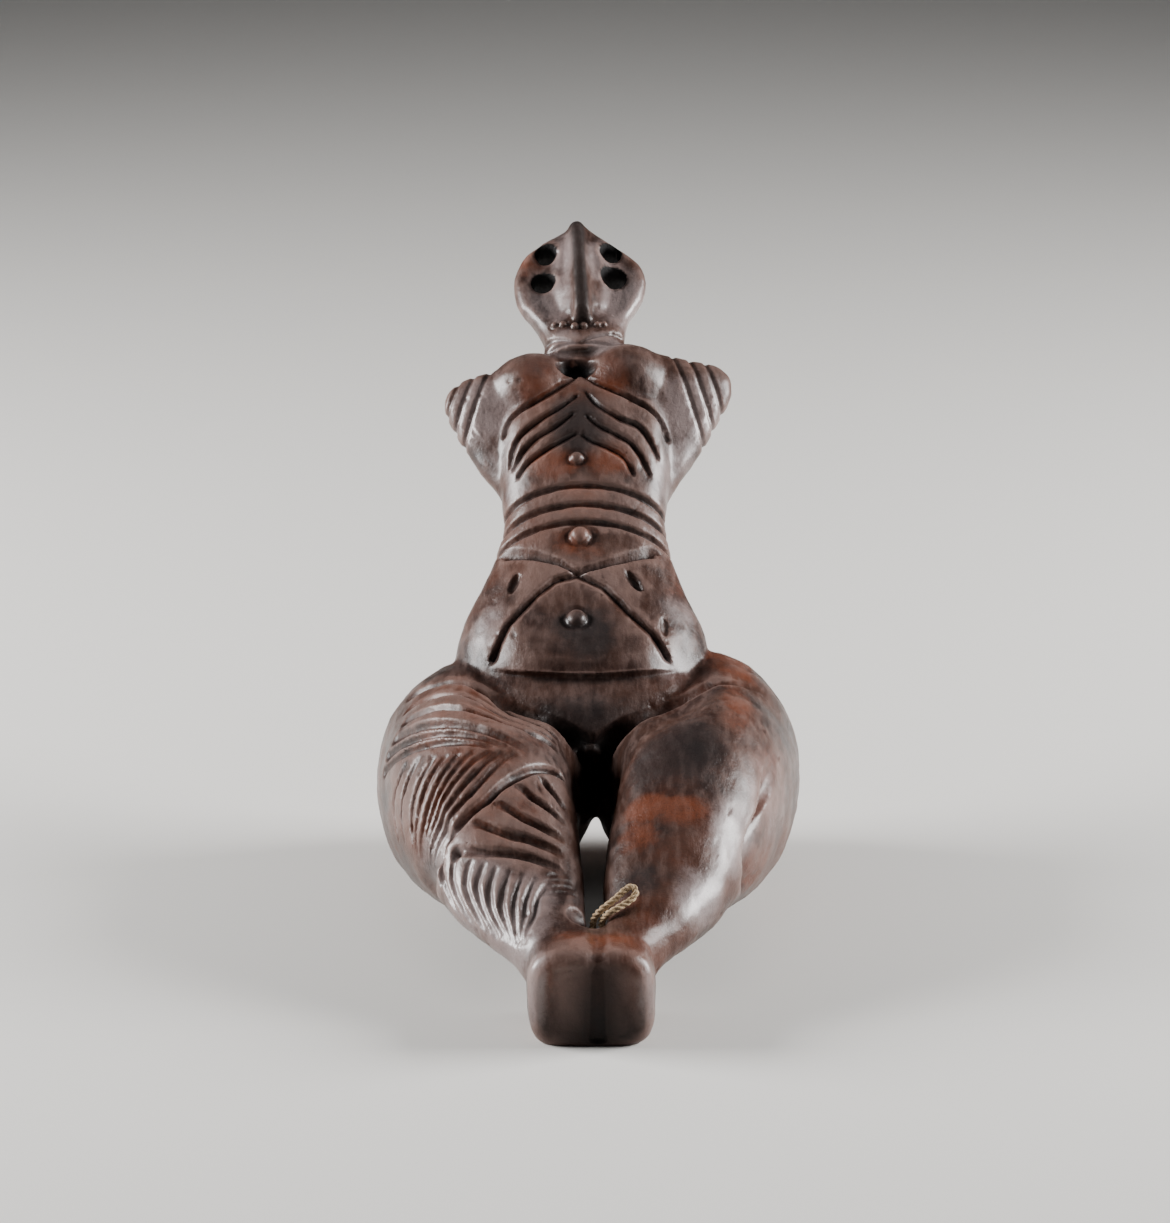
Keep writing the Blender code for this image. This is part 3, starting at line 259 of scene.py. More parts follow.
# Behind each shin, round the leg's side in degrees from its top: where along Y the step down to the hip is.
KNEE_FOLDS = ((-1, ((44, -47), (54, -49.4), (66, -50.7), (86, -51.3), (100, -50.6), (117, -48.2))),
              (1, ((46, -27), (55, -32.4), (65, -39.1), (70, -45.5), (80, -48.7), (95, -49.6), (123, -43.6))))
KNEE_FOLD_DEPTH = 1.5
# Behind its line, where the step goes down and where the hip has come up again.
KNEE_FOLD_DROPS = (-0.4, 1.0)
KNEE_FOLD_FADES = (1.5, 12.0)
# Round the leg, where it begins and ends.
KNEE_FOLD_STARTS = (46, 62)
KNEE_FOLD_ENDS = (112, 128)

# Each stump's side, and how far out its rings are on the arm's slant.
ARM_SLANT_DEG = 18.0
ARM_MIDDLE = 85.0
ARM_RING_WIDTH = 0.6
ARM_RING_DEPTH = 0.4
ARM_RINGS = ((-1, (20.7, 23.4, 26.1)), (1, (19.4, 22.4, 25.3)))
FACE_DISH = 1.1
# How far up the head the dished face begins and ends.
FACE_FROM = (4.0, 9.0)
FACE_TO = (22.0, 28.0)
# How far across it, as shares of the head's half width, the dish deepens and comes up again.
DISH_DEEPENS = (0.3, 0.5)
DISH_RISES = (0.6, 0.95)
MOUTH_PELLET_RISE = 0.8
MOUTH_PELLETS = ((-6.1, 3.5, 0.8), (-4.3, 3.2, 0.8), (-1.8, 2.2, 0.95), (-0.1, 2.2, 0.95), (2.8, 2.6, 0.85),
                 (4.0, 2.9, 0.8))
# The throat's crossing: to the side, up the head; then how its upper and lower arms rise.
THROAT_CROSSING = (-1.6, -2.8)
THROAT_RISES = (0.55, 0.05)
# Each arm's points to the side, and how it droops.
THROAT_RUN = (0, 3, 6, 9)
THROAT_DROOP = 0.02
THROAT_LINE_WIDTH = 1.5
THROAT_LINE_DEPTH = 0.6

# The figure's right leg, in the chart (Y, degrees around the leg from its top, outward positive): the line
# over its knee, then families of grooves, each with count, width and depth as shares, and the lines that the
# grooves run between.
KNEE_LINE = ((-30.4, -54), (-35.4, -33), (-40.5, -10), (-45.2, 14), (-48.7, 47), (-50.4, 68), (-53, 84))
KNEE_LINE_SHARE = 1.3
LEG_FAMILIES = (
    (3, 1.5, 1.8, ((9, 44), (4, 14), (0, -6), (-9.9, -30), (-12, -48)),
     ((-8.6, 42), (-16.2, 18), (-19.7, 0), (-22.7, -20), (-21.5, -44))),
    (3, 1.4, 1.6, ((-11.5, 52), (-20.4, 30), (-24.5, 14), (-28, -2), (-31, -18)),
     ((-13, 72), (-21.5, 50), (-26.7, 33), (-30, 17), (-32, 2))),
    (9, 0.75, 0.8, ((-25, 55), (-25, 71), (-26.1, 87), (-28.3, 100)),
     ((-31.6, 37), (-33.8, 57), (-36, 73), (-38.5, 88)), ((-33.8, 22), (-38, 47), (-41, 68), (-43, 93)),
     ((-34.2, 2), (-39.4, 33), (-43, 60), (-44.6, 94)), ((-34.2, -14), (-42, 18), (-46, 50), (-47.5, 84))),
    (5, 1.1, 1.35, ((-37.5, -35), (-38.5, -40), (-39.5, -46), (-40.5, -53)),
     ((-46.6, 1), (-48.9, -17), (-50, -36), (-50.2, -51)),
     ((-52.8, 56), (-55.3, 34), (-56.4, 0), (-58, -48))),
    (9, 0.75, 0.8, ((-51, 70), (-52.9, 80), (-56.2, 86), (-60.8, 95)),
     ((-56.3, 52), (-59.2, 67), (-63.6, 77), (-67.5, 86)), ((-59, 31), (-62.8, 53), (-67.4, 68), (-71.3, 78)),
     ((-61, 0), (-66, 31), (-70.6, 57), (-73.8, 72)), ((-62.3, -34), (-68, 5), (-72.2, 42), (-75, 60))),
    (4, 0.6, 0.3, ((-60.7, -34), (-59.4, -46), (-58.6, -58)), ((-65.4, -18), (-63.6, -46), (-62.1, -66))))
LEG_LINE_STEP = 7.0
# The leg's grooves fade out at its inner side, at the hip and near the underside.
LEG_FROM_MIDDLE = (0.5, 2.0)
LEG_TO_HIP = (15, 18)
LEG_ABOVE = (2, 5)
# Two stabs of the tool in the same chart, with their radii and depths.
LEG_STABS = (((-53.2, 58), 1.3, 1.2), ((-37.5, 80), 1.0, 0.8))
# The pressed-in mouth of the hole above the joined feet: middle, radius, depth.
HOLE_MOUTH = ((-0.6, -68.6, 17.0), 3.6, 1.8)
# A bight of twine with both ends down in that hole, over the ankle of the left leg.
TWINE_ROUTE = (
    (GAP_MIDDLE - STRAND_ASIDE, -63.4, 8.6), (GAP_MIDDLE - STRAND_ASIDE, -64.6, 12.6),
    (GAP_MIDDLE - STRAND_ASIDE + 0.2, -66.7, 16.0), (2.2, -68.1, 18.2), (4.5, -67.8, 20.0),
    (6.5, -66.9, 21.6), (7.8, -66.6, 22.1), (8.4, -67.3, 21.3), (7.8, -68.0, 20.4), (6.6, -68.6, 19.7),
    (4.8, -69.5, 18.9), (3.4, -69.2, 17.9), (GAP_MIDDLE + STRAND_ASIDE, -67.3, 15.9),
    (GAP_MIDDLE + STRAND_ASIDE, -65.0, 12.6), (GAP_MIDDLE + STRAND_ASIDE, -63.6, 8.6))


def curve_through(table, at):
    """Each column of the table at the places asked for, on a smooth curve that doesn't overshoot."""
    rows = np.array(sorted(table), float)
    place, values = rows[:, 0], rows[:, 1:]
    step = np.diff(place)[:, None]
    slope = np.diff(values, axis=0) / step
    same_way = slope[:-1] * slope[1:] > 0
    mean = np.where(same_way, 2 * slope[:-1] * slope[1:] / np.where(same_way, slope[:-1] + slope[1:], 1), 0)
    tangent = np.vstack([slope[:1], mean, slope[-1:]])
    at = np.asarray(at, float)
    left = np.clip(np.searchsorted(place, at) - 1, 0, len(place) - 2)
    width = step[left]
    share = (at[:, None] - place[left][:, None]) / width
    rise = share * share * (3 - 2 * share)
    leave, arrive = share * (1 - share) ** 2, share ** 2 * (share - 1)
    return (values[left] * (1 - rise) + values[left + 1] * rise
            + (tangent[left] * leave + tangent[left + 1] * arrive) * width)


def supple(route, step):
    """Evenly spaced points of a smooth line through the route's own points."""
    ends = np.vstack([2 * route[0] - route[1], route, 2 * route[-1] - route[-2]])
    points = []
    for before, a, b, after in zip(ends, ends[1:], ends[2:], ends[3:]):
        count = max(2, round(np.linalg.norm(b - a) / step))
        for t in np.arange(count) / count:
            points.append(0.5 * (2 * a + (b - before) * t + (2 * before - 5 * a + 4 * b - after) * t * t
                                 + (3 * a - before - 3 * b + after) * t ** 3))
    return points + [route[-1]]


def stations(table, step=STATION_STEP):
    """Evenly spaced rows of the smooth curve through a table, from its one end to its other."""
    ends = min(row[0] for row in table), max(row[0] for row in table)
    places = np.linspace(*ends, max(3, round((ends[1] - ends[0]) / step) + 1))
    return np.column_stack([places, curve_through(table, places)])


def ring(centre, across, out, half_width, half_depth, power):
    """The points of one cross-section, a rounded outline between an ellipse (power 2) and a box."""
    points = []
    for k in range(RING_POINTS):
        angle = 2 * math.pi * k / RING_POINTS
        c, s = math.cos(angle), math.sin(angle)
        along = math.copysign(abs(c) ** (2 / power), c) * half_width
        up = math.copysign(abs(s) ** (2 / power), s) * half_depth
        points.append(centre + across * along + out * up)
    return points


def loft(bm, rings):
    """A closed body through a row of rings, with rounded-off flat ends."""
    loops = [[bm.verts.new(point) for point in points] for points in rings]
    edges = [[bm.edges.new((loop[k - 1], loop[k])) for k in range(len(loop))] for loop in loops]
    for one, other in zip(edges, edges[1:]):
        bmesh.ops.bridge_loops(bm, edges=one + other)
    bm.faces.new(loops[0])
    bm.faces.new(loops[-1])


def on_trunk(up, x=0.0, back=0.0):
    """The point this far up the trunk's front line, to the side and behind it."""
    return Vector((x + TRUNK_ASIDE, CROTCH[0] + up * UP_TRUNK[0] + back * OUT_BACK[0],
                   CROTCH[1] + up * UP_TRUNK[1] + back * OUT_BACK[1]))


def head_frame():
    """The middle of the chin's thickness, with the head's sideways, upward and outward directions."""
    roll = math.radians(HEAD_ROLL_DEG)
    up, out = Vector((0, *UP_HEAD)), Vector((0, *OUT_FACE))
    side = Vector((1, 0, 0))
    turned = up * math.cos(roll) - side * math.sin(roll)
    return on_trunk(CHIN_UP, 0.0, CHIN_BACK), side * math.cos(roll) + up * math.sin(roll), turned, out


def on_head(up, x=0.0, out=0.0):
    """The point this far up the head from the chin, to the side and in front of its middle."""
    chin, side, upward, outward = head_frame()
    return chin + side * x + upward * up + outward * out


def trunk_loft(bm, table, power, tilt=0.0):
    """A length of the trunk, moved to the side and tilted as shoulders are."""
    across = Vector((math.cos(tilt), UP_TRUNK[0] * math.sin(tilt), UP_TRUNK[1] * math.sin(tilt)))
    out = Vector((0, OUT_BACK[0], OUT_BACK[1]))
    rings = []
    for up, half_width, front, back, aside in stations(table):
        centre = on_trunk(up, aside, (back - front) / 2)
        rings.append(ring(centre, across, out, half_width, (back + front) / 2, power))
    loft(bm, rings)


def half_gap(share):
    """Half the gap between the legs, from the hole's width at 0 to the widest at 1."""
    return (HOLE_WIDTH + (LEG_GAP_WIDTH - HOLE_WIDTH) * share) / PART / 2


def leg_sizes(y, side=-1):
    """The leg's middle and half sizes across and up at each place along Y."""
    y = np.clip(y, LEG[-1][0], LEG[0][0])
    edge, gap, low, high = curve_through(LEG, y).T
    inner = side * GAP_MIDDLE + half_gap(gap)
    if side > 0:
        further, nearer, higher = curve_through(LEFT_HIP, y).T
        edge, inner, high = edge + further, inner - nearer, high + higher
    return side * (inner + edge) / 2, (low + high) / 2, (edge - inner) / 2, (high - low) / 2


def leg_loft(bm, side):
    """A leg from hip to ankle; the upper inner part of the thigh falls away towards the groin."""
    across, out = Vector((1, 0, 0)), Vector((0, 0, 1))
    rings = []
    places = stations(LEG)[:, 0]
    falls = curve_through(THIGH_FALL, places)[:, 0]
    for y, fall, middle_x, middle_z, half_x, half_z in zip(places, falls, *leg_sizes(places, side)):
        centre = Vector((middle_x, y, middle_z))
        points = ring(centre, across, out, half_x, half_z, LEG_POWER)
        for point in points:
            inward = (side * (centre.x - point.x) / half_x + FALL_OUTWARD) / (1 + FALL_OUTWARD)
            rise = (point.z - centre.z) / half_z
            if inward > 0 and rise > 0:
                point.z -= fall * half_z * math.sin(math.pi * inward) ** 2 * rise
        rings.append(points)
    loft(bm, rings)


def feet_loft(bm):
    across, out = Vector((1, 0, 0)), Vector((0, 0, 1))
    loft(bm, [ring(Vector((FEET_MIDDLE, y, z)), across, out, half_width, half_height, FEET_POWER)
              for y, half_width, z, half_height in stations(FEET)])


def ball(bm, centre, radii, turn):
    """An ellipsoid, turned about X by this angle."""
    place = Matrix.Translation(centre) @ Matrix.Rotation(turn, 4, "X") @ Matrix.Diagonal((*radii, 1))
    bmesh.ops.create_uvsphere(bm, u_segments=32, v_segments=20, radius=1, matrix=place)


def object_from(name, bm):
    bmesh.ops.recalc_face_normals(bm, faces=bm.faces)
    mesh = bpy.data.meshes.new(name)
    bm.to_mesh(mesh)
    bm.free()
    made = bpy.data.objects.new(name, mesh)
    bpy.context.scene.collection.objects.link(made)
    return made


def apply_modifiers(obj):
    graph = bpy.context.evaluated_depsgraph_get()
    finished = bpy.data.meshes.new_from_object(obj.evaluated_get(graph))
    obj.modifiers.clear()
    obj.data = finished


def body_object():
    bm = bmesh.new()
    trunk_loft(bm, PELVIS, PELVIS_POWER)
    trunk_loft(bm, BELLY, BELLY_POWER)
    trunk_loft(bm, SHOULDERS, SHOULDER_POWER, math.radians(SHOULDER_TILT_DEG))
    for side in (-1, 1):
        leg_loft(bm, side)
    for (x, up), radii in BREASTS:
        ball(bm, on_trunk(up, x, BREAST_BACK), radii, -LEAN)
    feet_loft(bm)
    return object_from("body", bm)


def head_object():
    _, side, _, outward = head_frame()
    bm = bmesh.new()
    loft(bm, [ring(on_head(up, aside), side, outward, half_width, half_thickness, HEAD_POWER)
              for up, half_width, half_thickness, aside in stations(HEAD)])
    return object_from("head", bm)


def nose_object():
    """The pinched ridge from the crown to the nose's end."""
    _, side, _, outward = head_frame()
    bm = bmesh.new()
    for table in (NOSE, NOSE_FLANKS):
        loft(bm, [ring(on_head(up, NOSE_ASIDE, rise / 2), side, outward, half_width, rise / 2, NOSE_POWER)
                  for up, half_width, rise in stations(table)])
    return object_from("nose", bm)


def joined(name, pieces):
    """The pieces' meshes in one mesh."""
    bm = bmesh.new()
    for piece in pieces:
        bm.from_mesh(piece.data)
        bpy.data.objects.remove(piece)
    return object_from(name, bm)


def melted(obj):
    """Overlapping forms become one skin, smoothed as a wet hand would, at full size."""
    obj.data.transform(Matrix.Scale(PART, 4))
    merge = obj.modifiers.new("one skin", "REMESH")
    merge.mode, merge.voxel_size, merge.adaptivity = "VOXEL", VOXEL, 0.0
    smooth = obj.modifiers.new("wiped smooth", "SMOOTH")
    smooth.factor, smooth.iterations = SMOOTH_FACTOR, SMOOTH_ROUNDS
    apply_modifiers(obj)


def vertex_rows(obj, field="co"):
    """One field of every vertex, a row each: its place or its normal."""
    rows = np.empty(len(obj.data.vertices) * 3)
    obj.data.vertices.foreach_get(field, rows)
    return rows.reshape(-1, 3)


def move_vertices(obj, rows):
    obj.data.vertices.foreach_set("co", rows.ravel())
    obj.data.update()


def trunk_chart(place):
    """How far up the trunk each place is, and how far behind its front line."""
    y, z = place[:, 1] - CROTCH[0], place[:, 2] - CROTCH[1]
    return y * UP_TRUNK[0] + z * UP_TRUNK[1], y * OUT_BACK[0] + z * OUT_BACK[1]


def head_chart(place):
    """How far each place is to the side of the chin's middle, up the head and in front of its middle."""
    chin, *axes = (np.array(vector) for vector in head_frame())
    return [(place - chin) @ axis for axis in axes]


def ramp(value, low, high):
    """0 below low, 1 above high, with soft ends."""
    share = np.clip((value - low) / (high - low), 0, 1)
    return share * share * (3 - 2 * share)


def swelling(share, least, margin):
    """The share of its full size that a stroke has along it, as the tool goes in and comes out."""
    return least + (1 - least) * np.sin(math.pi * (margin + (1 - 2 * margin) * share)) ** SWELL_POWER


def stroke(across, along, points):
    """How far each place in a chart lies from a line, how far along, and whether it is on its left."""
    best, share, left = np.full(len(across), 1e9), np.zeros(len(across)), np.zeros(len(across), bool)
    last = len(points) - 1
    for k in range(last):
        (ax, ay), (bx, by) = points[k], points[k + 1]
        length = (bx - ax) ** 2 + (by - ay) ** 2
        t = np.clip(((across - ax) * (bx - ax) + (along - ay) * (by - ay)) / length, 0, 1)
        gap = np.hypot(across - ax - t * (bx - ax), along - ay - t * (by - ay))
        nearer = gap < best
        best[nearer], share[nearer] = gap[nearer], (k + t[nearer]) / last
        left[nearer] = ((bx - ax) * (along - ay) > (by - ay) * (across - ax))[nearer]
    return best, share, left


def trough(distance, width, depth):
    """A rounded groove of this width."""
    return -depth * np.cos(np.clip(distance / (width / 2), 0, 1) * math.pi / 2) ** TROUGH_POWER


def groove(distance, wide=1.0, deep=1.0):
    """A trough with these shares of the usual groove's width and depth."""
    return trough(distance, wide * GROOVE_WIDTH / PART, deep * GROOVE_DEPTH / PART)


def slanted_trough(distance, steep, width, depth):
    """A groove with one steep side and one that slopes gently, as a slanted tool leaves it."""
    reach = np.where(steep, STEEP_SHARE, 1 - STEEP_SHARE) * width
    return -depth * (1 - np.clip(distance / reach, 0, 1)) ** SLOPE_POWER


def bead(distance, diameter, rise):
    """A flattened pellet in a shallow ring of pressed clay."""
    inside = np.clip(1 - (distance / (diameter / 2)) ** 2, 0, 1)
    pressed = np.clip(1 - np.abs(distance - diameter * PRESSED_RING) / (diameter * PRESSED_WIDTH), 0, 1)
    return rise * (np.sqrt(inside) - PRESSED_DEPTH * pressed ** 2)


def carve_trunk(place, facing):
    """The chest's lines, the belly's crossing, the apron's raised edge and the pellets."""
    x, up, cut = place[:, 0] - TRUNK_ASIDE, place[:, 1], np.zeros(len(place))
    width, depth = GROOVE_WIDTH / PART, GROOVE_DEPTH / PART
    for line in CHEST_LINES:
        distance, share, left = stroke(x, up, supple(np.array(line), LINE_STEP))
        upper = left == (line[-1][0] > line[0][0])
        swell = swelling(share, *CHEST_SWELL)
        cut = np.minimum(cut, slanted_trough(distance, upper, width * CHEST_LINE_WIDTH * swell,
                                             depth * CHEST_LINE_DEPTH * swell))
    for line, start, end, steep_left in BELLY_ARMS:
        distance, share, left = stroke(x, up, line)
        swell = width * (start + (end - start) * share)
        cut = np.minimum(cut, slanted_trough(distance, left == steep_left, swell, depth * BELLY_ARM_DEPTH))
    edge = APRON_EDGE + APRON_SWEEP * (x / APRON_HALF) ** 2
    step = ramp(up, *(edge + away for away in APRON_RISES))
    step = step * (1 - ramp(up, *(edge + away for away in APRON_SINKS)))
    cut += APRON_STEP / PART * step * (1 - ramp(np.abs(x), *APRON_SIDES))
    for bx, at, share in TRUNK_PELLETS:
        distance = np.hypot(x - bx, up - at)
        cut += bead(distance, share * NAVEL_PELLET_DIAMETER / PART, share * PELLET_RISE / PART)
    for bx, at, wide, long, lean, deep in BELLY_OVALS:
        oval = np.hypot((x - bx - lean * (up - at)) / wide, (up - at) / long)
        cut -= deep * np.clip(1 - oval ** 4, 0, 1)
    (hx, at), wide, long, deep = THROAT_HOLLOW
    cut -= deep * np.clip(1 - ((x - hx) / wide) ** 2 - ((up - at) / long) ** 2, 0, 1)
    return cut * ramp(facing, *TRUNK_FACING)


def carve_waist(place):
    """Bands right round the waist."""
    x, up, cut = place[:, 0] - TRUNK_ASIDE, place[:, 1], np.zeros(len(place))
    run = np.linspace(-WAIST_RUN, WAIST_RUN, 13)
    for middle in WAIST_BANDS:
        distance, _, _ = stroke(x, up, [(WAIST_SIDE * v, middle - WAIST_SAG * v * v) for v in run])
        cut = np.minimum(cut, groove(distance, WAIST_WIDTH))
    return cut


def carve_groin(place, facing):
    """The folds where the thighs leave the belly."""
    x, up, cut = place[:, 0], place[:, 1], np.zeros(len(place))
    for line in GROIN_FOLDS:
        distance, share, _ = stroke(x, up, line)
        width = GROIN_WIDTHS[0] + (GROIN_WIDTHS[1] - GROIN_WIDTHS[0]) * share
        depth = GROIN_DEPTH * np.sin(math.pi * (GROIN_WAVE[0] + GROIN_WAVE[1] * share))
        cut = np.minimum(cut, trough(distance, width, depth))
    return cut * ramp(facing, *GROIN_FACING)


def carve_arms(place):
    """Three rings around each stump of an arm."""
    cut = np.zeros(len(place))
    slant = math.radians(ARM_SLANT_DEG)
    for side, rings in ARM_RINGS:
        reach = side * place[:, 0] * math.cos(slant) + (place[:, 1] - ARM_MIDDLE) * math.sin(slant)
        for at in rings:
            cut = np.minimum(cut, groove(np.abs(reach - at), ARM_RING_WIDTH, ARM_RING_DEPTH))
    return cut * ramp(place[:, 1], *STUMPS_FROM) * (1 - ramp(place[:, 1], *STUMPS_TO))


def carve_head(place, facing):
    """The dished face, the pellets under the nose, the holes' rims and the crossing lines at the throat."""
    x, up = place[:, 0], place[:, 1]
    edge = np.interp(up, [row[0] for row in HEAD], [row[1] for row in HEAD])
    rim = np.abs(x) / edge
    cut = -FACE_DISH * ramp(rim, *DISH_DEEPENS) * (1 - ramp(rim, *DISH_RISES))
    cut *= ramp(up, *FACE_FROM) * (1 - ramp(up, *FACE_TO))
    for bx, at, share in MOUTH_PELLETS:
        cut += bead(np.hypot(x - bx, up - at), share * MOUTH_PELLET_DIAMETER / PART,
                    share * MOUTH_PELLET_RISE)
    for bx, at, share in EYE_HOLES:
        beyond = np.hypot(x - bx, up - at) - share * EYE_HOLE_DIAMETER / PART / 2
        cut -= RIM_DEPTH * np.clip(1 - beyond / RIM_REACH, 0, 1) ** 2
    lines = np.zeros(len(place))
    cx, cy = THROAT_CROSSING
    for side in (-1, 1):
        for rise in THROAT_RISES:
            line = [(cx + side * v, cy + rise * v - THROAT_DROOP * v * v) for v in THROAT_RUN]
            distance, _, _ = stroke(x, up, line)
            lines = np.minimum(lines, trough(distance, THROAT_LINE_WIDTH, THROAT_LINE_DEPTH))
    return (cut + lines) * ramp(facing, *HEAD_FACING)


def carve_knees(place):
    """The step behind each shin, where the thigh folds back under the hip."""
    cut = np.zeros(len(place))
    for side, fold in KNEE_FOLDS:
        middle_x, middle_z, _, _ = leg_sizes(place[:, 1], side)
        turn = np.degrees(np.arctan2(side * (place[:, 0] - middle_x), place[:, 2] - middle_z))
        behind = place[:, 1] - curve_through(fold, np.clip(turn, fold[0][0], fold[-1][0]))[:, 0]
        step = ramp(behind, *KNEE_FOLD_DROPS) * (1 - ramp(behind, *KNEE_FOLD_FADES))
        step *= ramp(turn, *KNEE_FOLD_STARTS) * (1 - ramp(turn, *KNEE_FOLD_ENDS)) * (side * place[:, 0] > 0)
        cut -= KNEE_FOLD_DEPTH * step
    return cut


def carve_leg(place):
    """The grooves that wrap the figure's right leg."""
    middle_x, middle_z, half_x, half_z = leg_sizes(place[:, 1])
    turn = np.arctan2(middle_x - place[:, 0], place[:, 2] - middle_z)
    y, round_leg, cut = place[:, 1], turn * (half_x + half_z) / 2, np.zeros(len(place))

    def on_leg(points):
        _, _, wide, high = leg_sizes(np.array([point[0] for point in points], float))
        return [(point[0], math.radians(point[1]) * (w + h) / 2) for point, w, h in zip(points, wide, high)]

    for count, width, depth, *lines in LEG_FAMILIES:
        for k in range(count):
            spot = k / (count - 1) * (len(lines) - 1)
            before = min(int(spot), len(lines) - 2)
            share = spot - before
            line = np.array(lines[before]) * (1 - share) + np.array(lines[before + 1]) * share
            distance, along, _ = stroke(y, round_leg, on_leg(supple(line, LEG_LINE_STEP)))
            cut = np.minimum(cut, groove(distance, width, depth * swelling(along, *LEG_SWELL)))
    distance, _, _ = stroke(y, round_leg, on_leg(KNEE_LINE))
    cut = np.minimum(cut, groove(distance, deep=KNEE_LINE_SHARE))
    for spot, radius, depth in LEG_STABS:
        at, turned = on_leg([spot])[0]
        cut -= depth * np.clip(1 - np.hypot(y - at, round_leg - turned) / radius, 0, 1)
    cut = cut * ramp(-place[:, 0], *LEG_FROM_MIDDLE) * (1 - ramp(y, *LEG_TO_HIP))
    return cut * ramp(place[:, 2], *LEG_ABOVE)


def carve_feet(place):
    """The seam between the two joined feet."""
    cut = trough(np.abs(place[:, 0] - GAP_MIDDLE), SEAM_WIDTH, SEAM_DEPTH)
    return cut * ramp(-place[:, 1], *(-y for y in SEAM_FROM)) * ramp(place[:, 2], *SEAM_ABOVE)


def carve(obj):
    """Vertices near a line of the carving move in along their own normals."""
    co, normal = vertex_rows(obj), vertex_rows(obj, "normal")
    place = co / PART
    up, back = trunk_chart(place)
    trunk = np.column_stack([place[:, 0], up])
    facing = -(normal[:, 1] * OUT_BACK[0] + normal[:, 2] * OUT_BACK[1])
    head = np.column_stack(head_chart(place)[:2])
    head_facing = normal @ np.array(head_frame()[3])
    below_neck = (1 - ramp(up, *CHEST_TO)) * (back < BACK_DEPTH)
    push = carve_trunk(trunk, facing) * below_neck * (back < FRONT_DEPTH) * ramp(up, *BELLY_FROM)
    push += carve_waist(trunk) * below_neck * (up > WAIST_FROM)
    push += carve_groin(trunk, facing) * (up < GROIN_TO)
    push += carve_arms(trunk) * (np.abs(place[:, 0]) > STUMPS_ASIDE)
    push += carve_head(head, head_facing) * ramp(head[:, 1], *CHIN_FROM)
    off_belly = 1 - ramp(up - BELLY_CORNER * np.abs(place[:, 0]), 0, BELLY_EDGE) * (facing > BELLY_FACING)
    push += carve_leg(place) * off_belly + carve_knees(place) + carve_feet(place)
    mouth, radius, depth = HOLE_MOUTH
    push -= depth * np.clip(1 - np.sum((place - mouth) ** 2, axis=1) / radius ** 2, 0, 1)
    move_vertices(obj, co + normal * (push * PART)[:, None])


def cut_flat(obj):
    """The underside is flat where the figure was set down while the clay was soft."""
    bm = bmesh.new()
    bm.from_mesh(obj.data)
    everything = bm.verts[:] + bm.edges[:] + bm.faces[:]
    cut = bmesh.ops.bisect_plane(bm, geom=everything, dist=1e-7, plane_co=(0, 0, 0), plane_no=(0, 0, -1),
                                 clear_outer=True)
    rim = [edge for edge in cut["geom_cut"] if isinstance(edge, bmesh.types.BMEdge)]
    bmesh.ops.contextual_create(bm, geom=rim)
    bmesh.ops.triangulate(bm, faces=bm.faces)
    bmesh.ops.recalc_face_normals(bm, faces=bm.faces)
    bm.to_mesh(obj.data)
    bm.free()


def drill_eyes(obj):
    """Four holes right through the head."""
    _, _, upward, outward = head_frame()
    steeper = math.radians(DRILL_STEEPER_DEG)
    along = outward * math.cos(steeper) + upward * math.sin(steeper)
    turn = along.to_track_quat("Z", "X").to_matrix().to_4x4()
    bm = bmesh.new()
    for x, up, share in EYE_HOLES:
        radius = share * EYE_HOLE_DIAMETER / 2
        place = Matrix.Translation(on_head(up, x) * PART) @ turn
        bmesh.ops.create_cone(bm, cap_ends=True, segments=24, radius1=radius, radius2=radius,
                              depth=DRILL_LENGTH * PART, matrix=place)
    drills = object_from("drills", bm)
    cut = obj.modifiers.new("eye holes", "BOOLEAN")
    cut.operation, cut.object, cut.solver = "DIFFERENCE", drills, "EXACT"
    apply_modifiers(obj)
    bpy.data.objects.remove(drills)


def thinned(obj):
    """The skin's own triangles, as fine as a piece may have."""
    thin = obj.modifiers.new("fewer faces", "DECIMATE")
    thin.ratio = SKIN_TRIANGLES / len(obj.data.polygons)
    apply_modifiers(obj)


def fitted(obj, node):
    """Brings the piece's box onto that of the solid that it stands for, and says how far its low corner moved."""
    low, high = (np.array(corner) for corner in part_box(node))
    co = vertex_rows(obj)
    own_low, own_high = co.min(axis=0), co.max(axis=0)
    move_vertices(obj, low + (co - own_low) * (high - low) / (own_high - own_low))
    return low - own_low


def note(obj, name, values):
    """Keeps one number for each vertex, which a material reads."""
    layer = obj.data.attributes.new(name, "FLOAT", "POINT")
    layer.data.foreach_set("value", np.asarray(values, np.float32))


def hollows(obj, rounds):
    """How deep each vertex lies below its surroundings, in metres, after this many rounds of averaging."""
    co, normal = vertex_rows(obj), vertex_rows(obj, "normal")
    count = len(co)
    ends = np.empty(len(obj.data.edges) * 2, int)
    obj.data.edges.foreach_get("vertices", ends)
    one, other = ends.reshape(-1, 2).T
    friends = np.bincount(one, minlength=count) + np.bincount(other, minlength=count)
    soft = co.copy()
    for _ in range(rounds):
        total = np.column_stack([np.bincount(one, soft[other, k], count) + np.bincount(other, soft[one, k], count)
                                 for k in range(3)])
        soft = total / friends[:, None]
    return np.sum((soft - co) * normal, axis=1)


def patches(obj, spots):
    """A soft share from 0 to 1 around each of these places, given as middle, radii and strength."""
    place = vertex_rows(obj) / PART
    share = np.zeros(len(place))
    for middle, radii, strength in spots:
        away = np.sqrt(np.sum(((place - middle) / radii) ** 2, axis=1))
        share = np.maximum(share, strength * (1 - ramp(away, *SPOT_EDGE)))
    return share


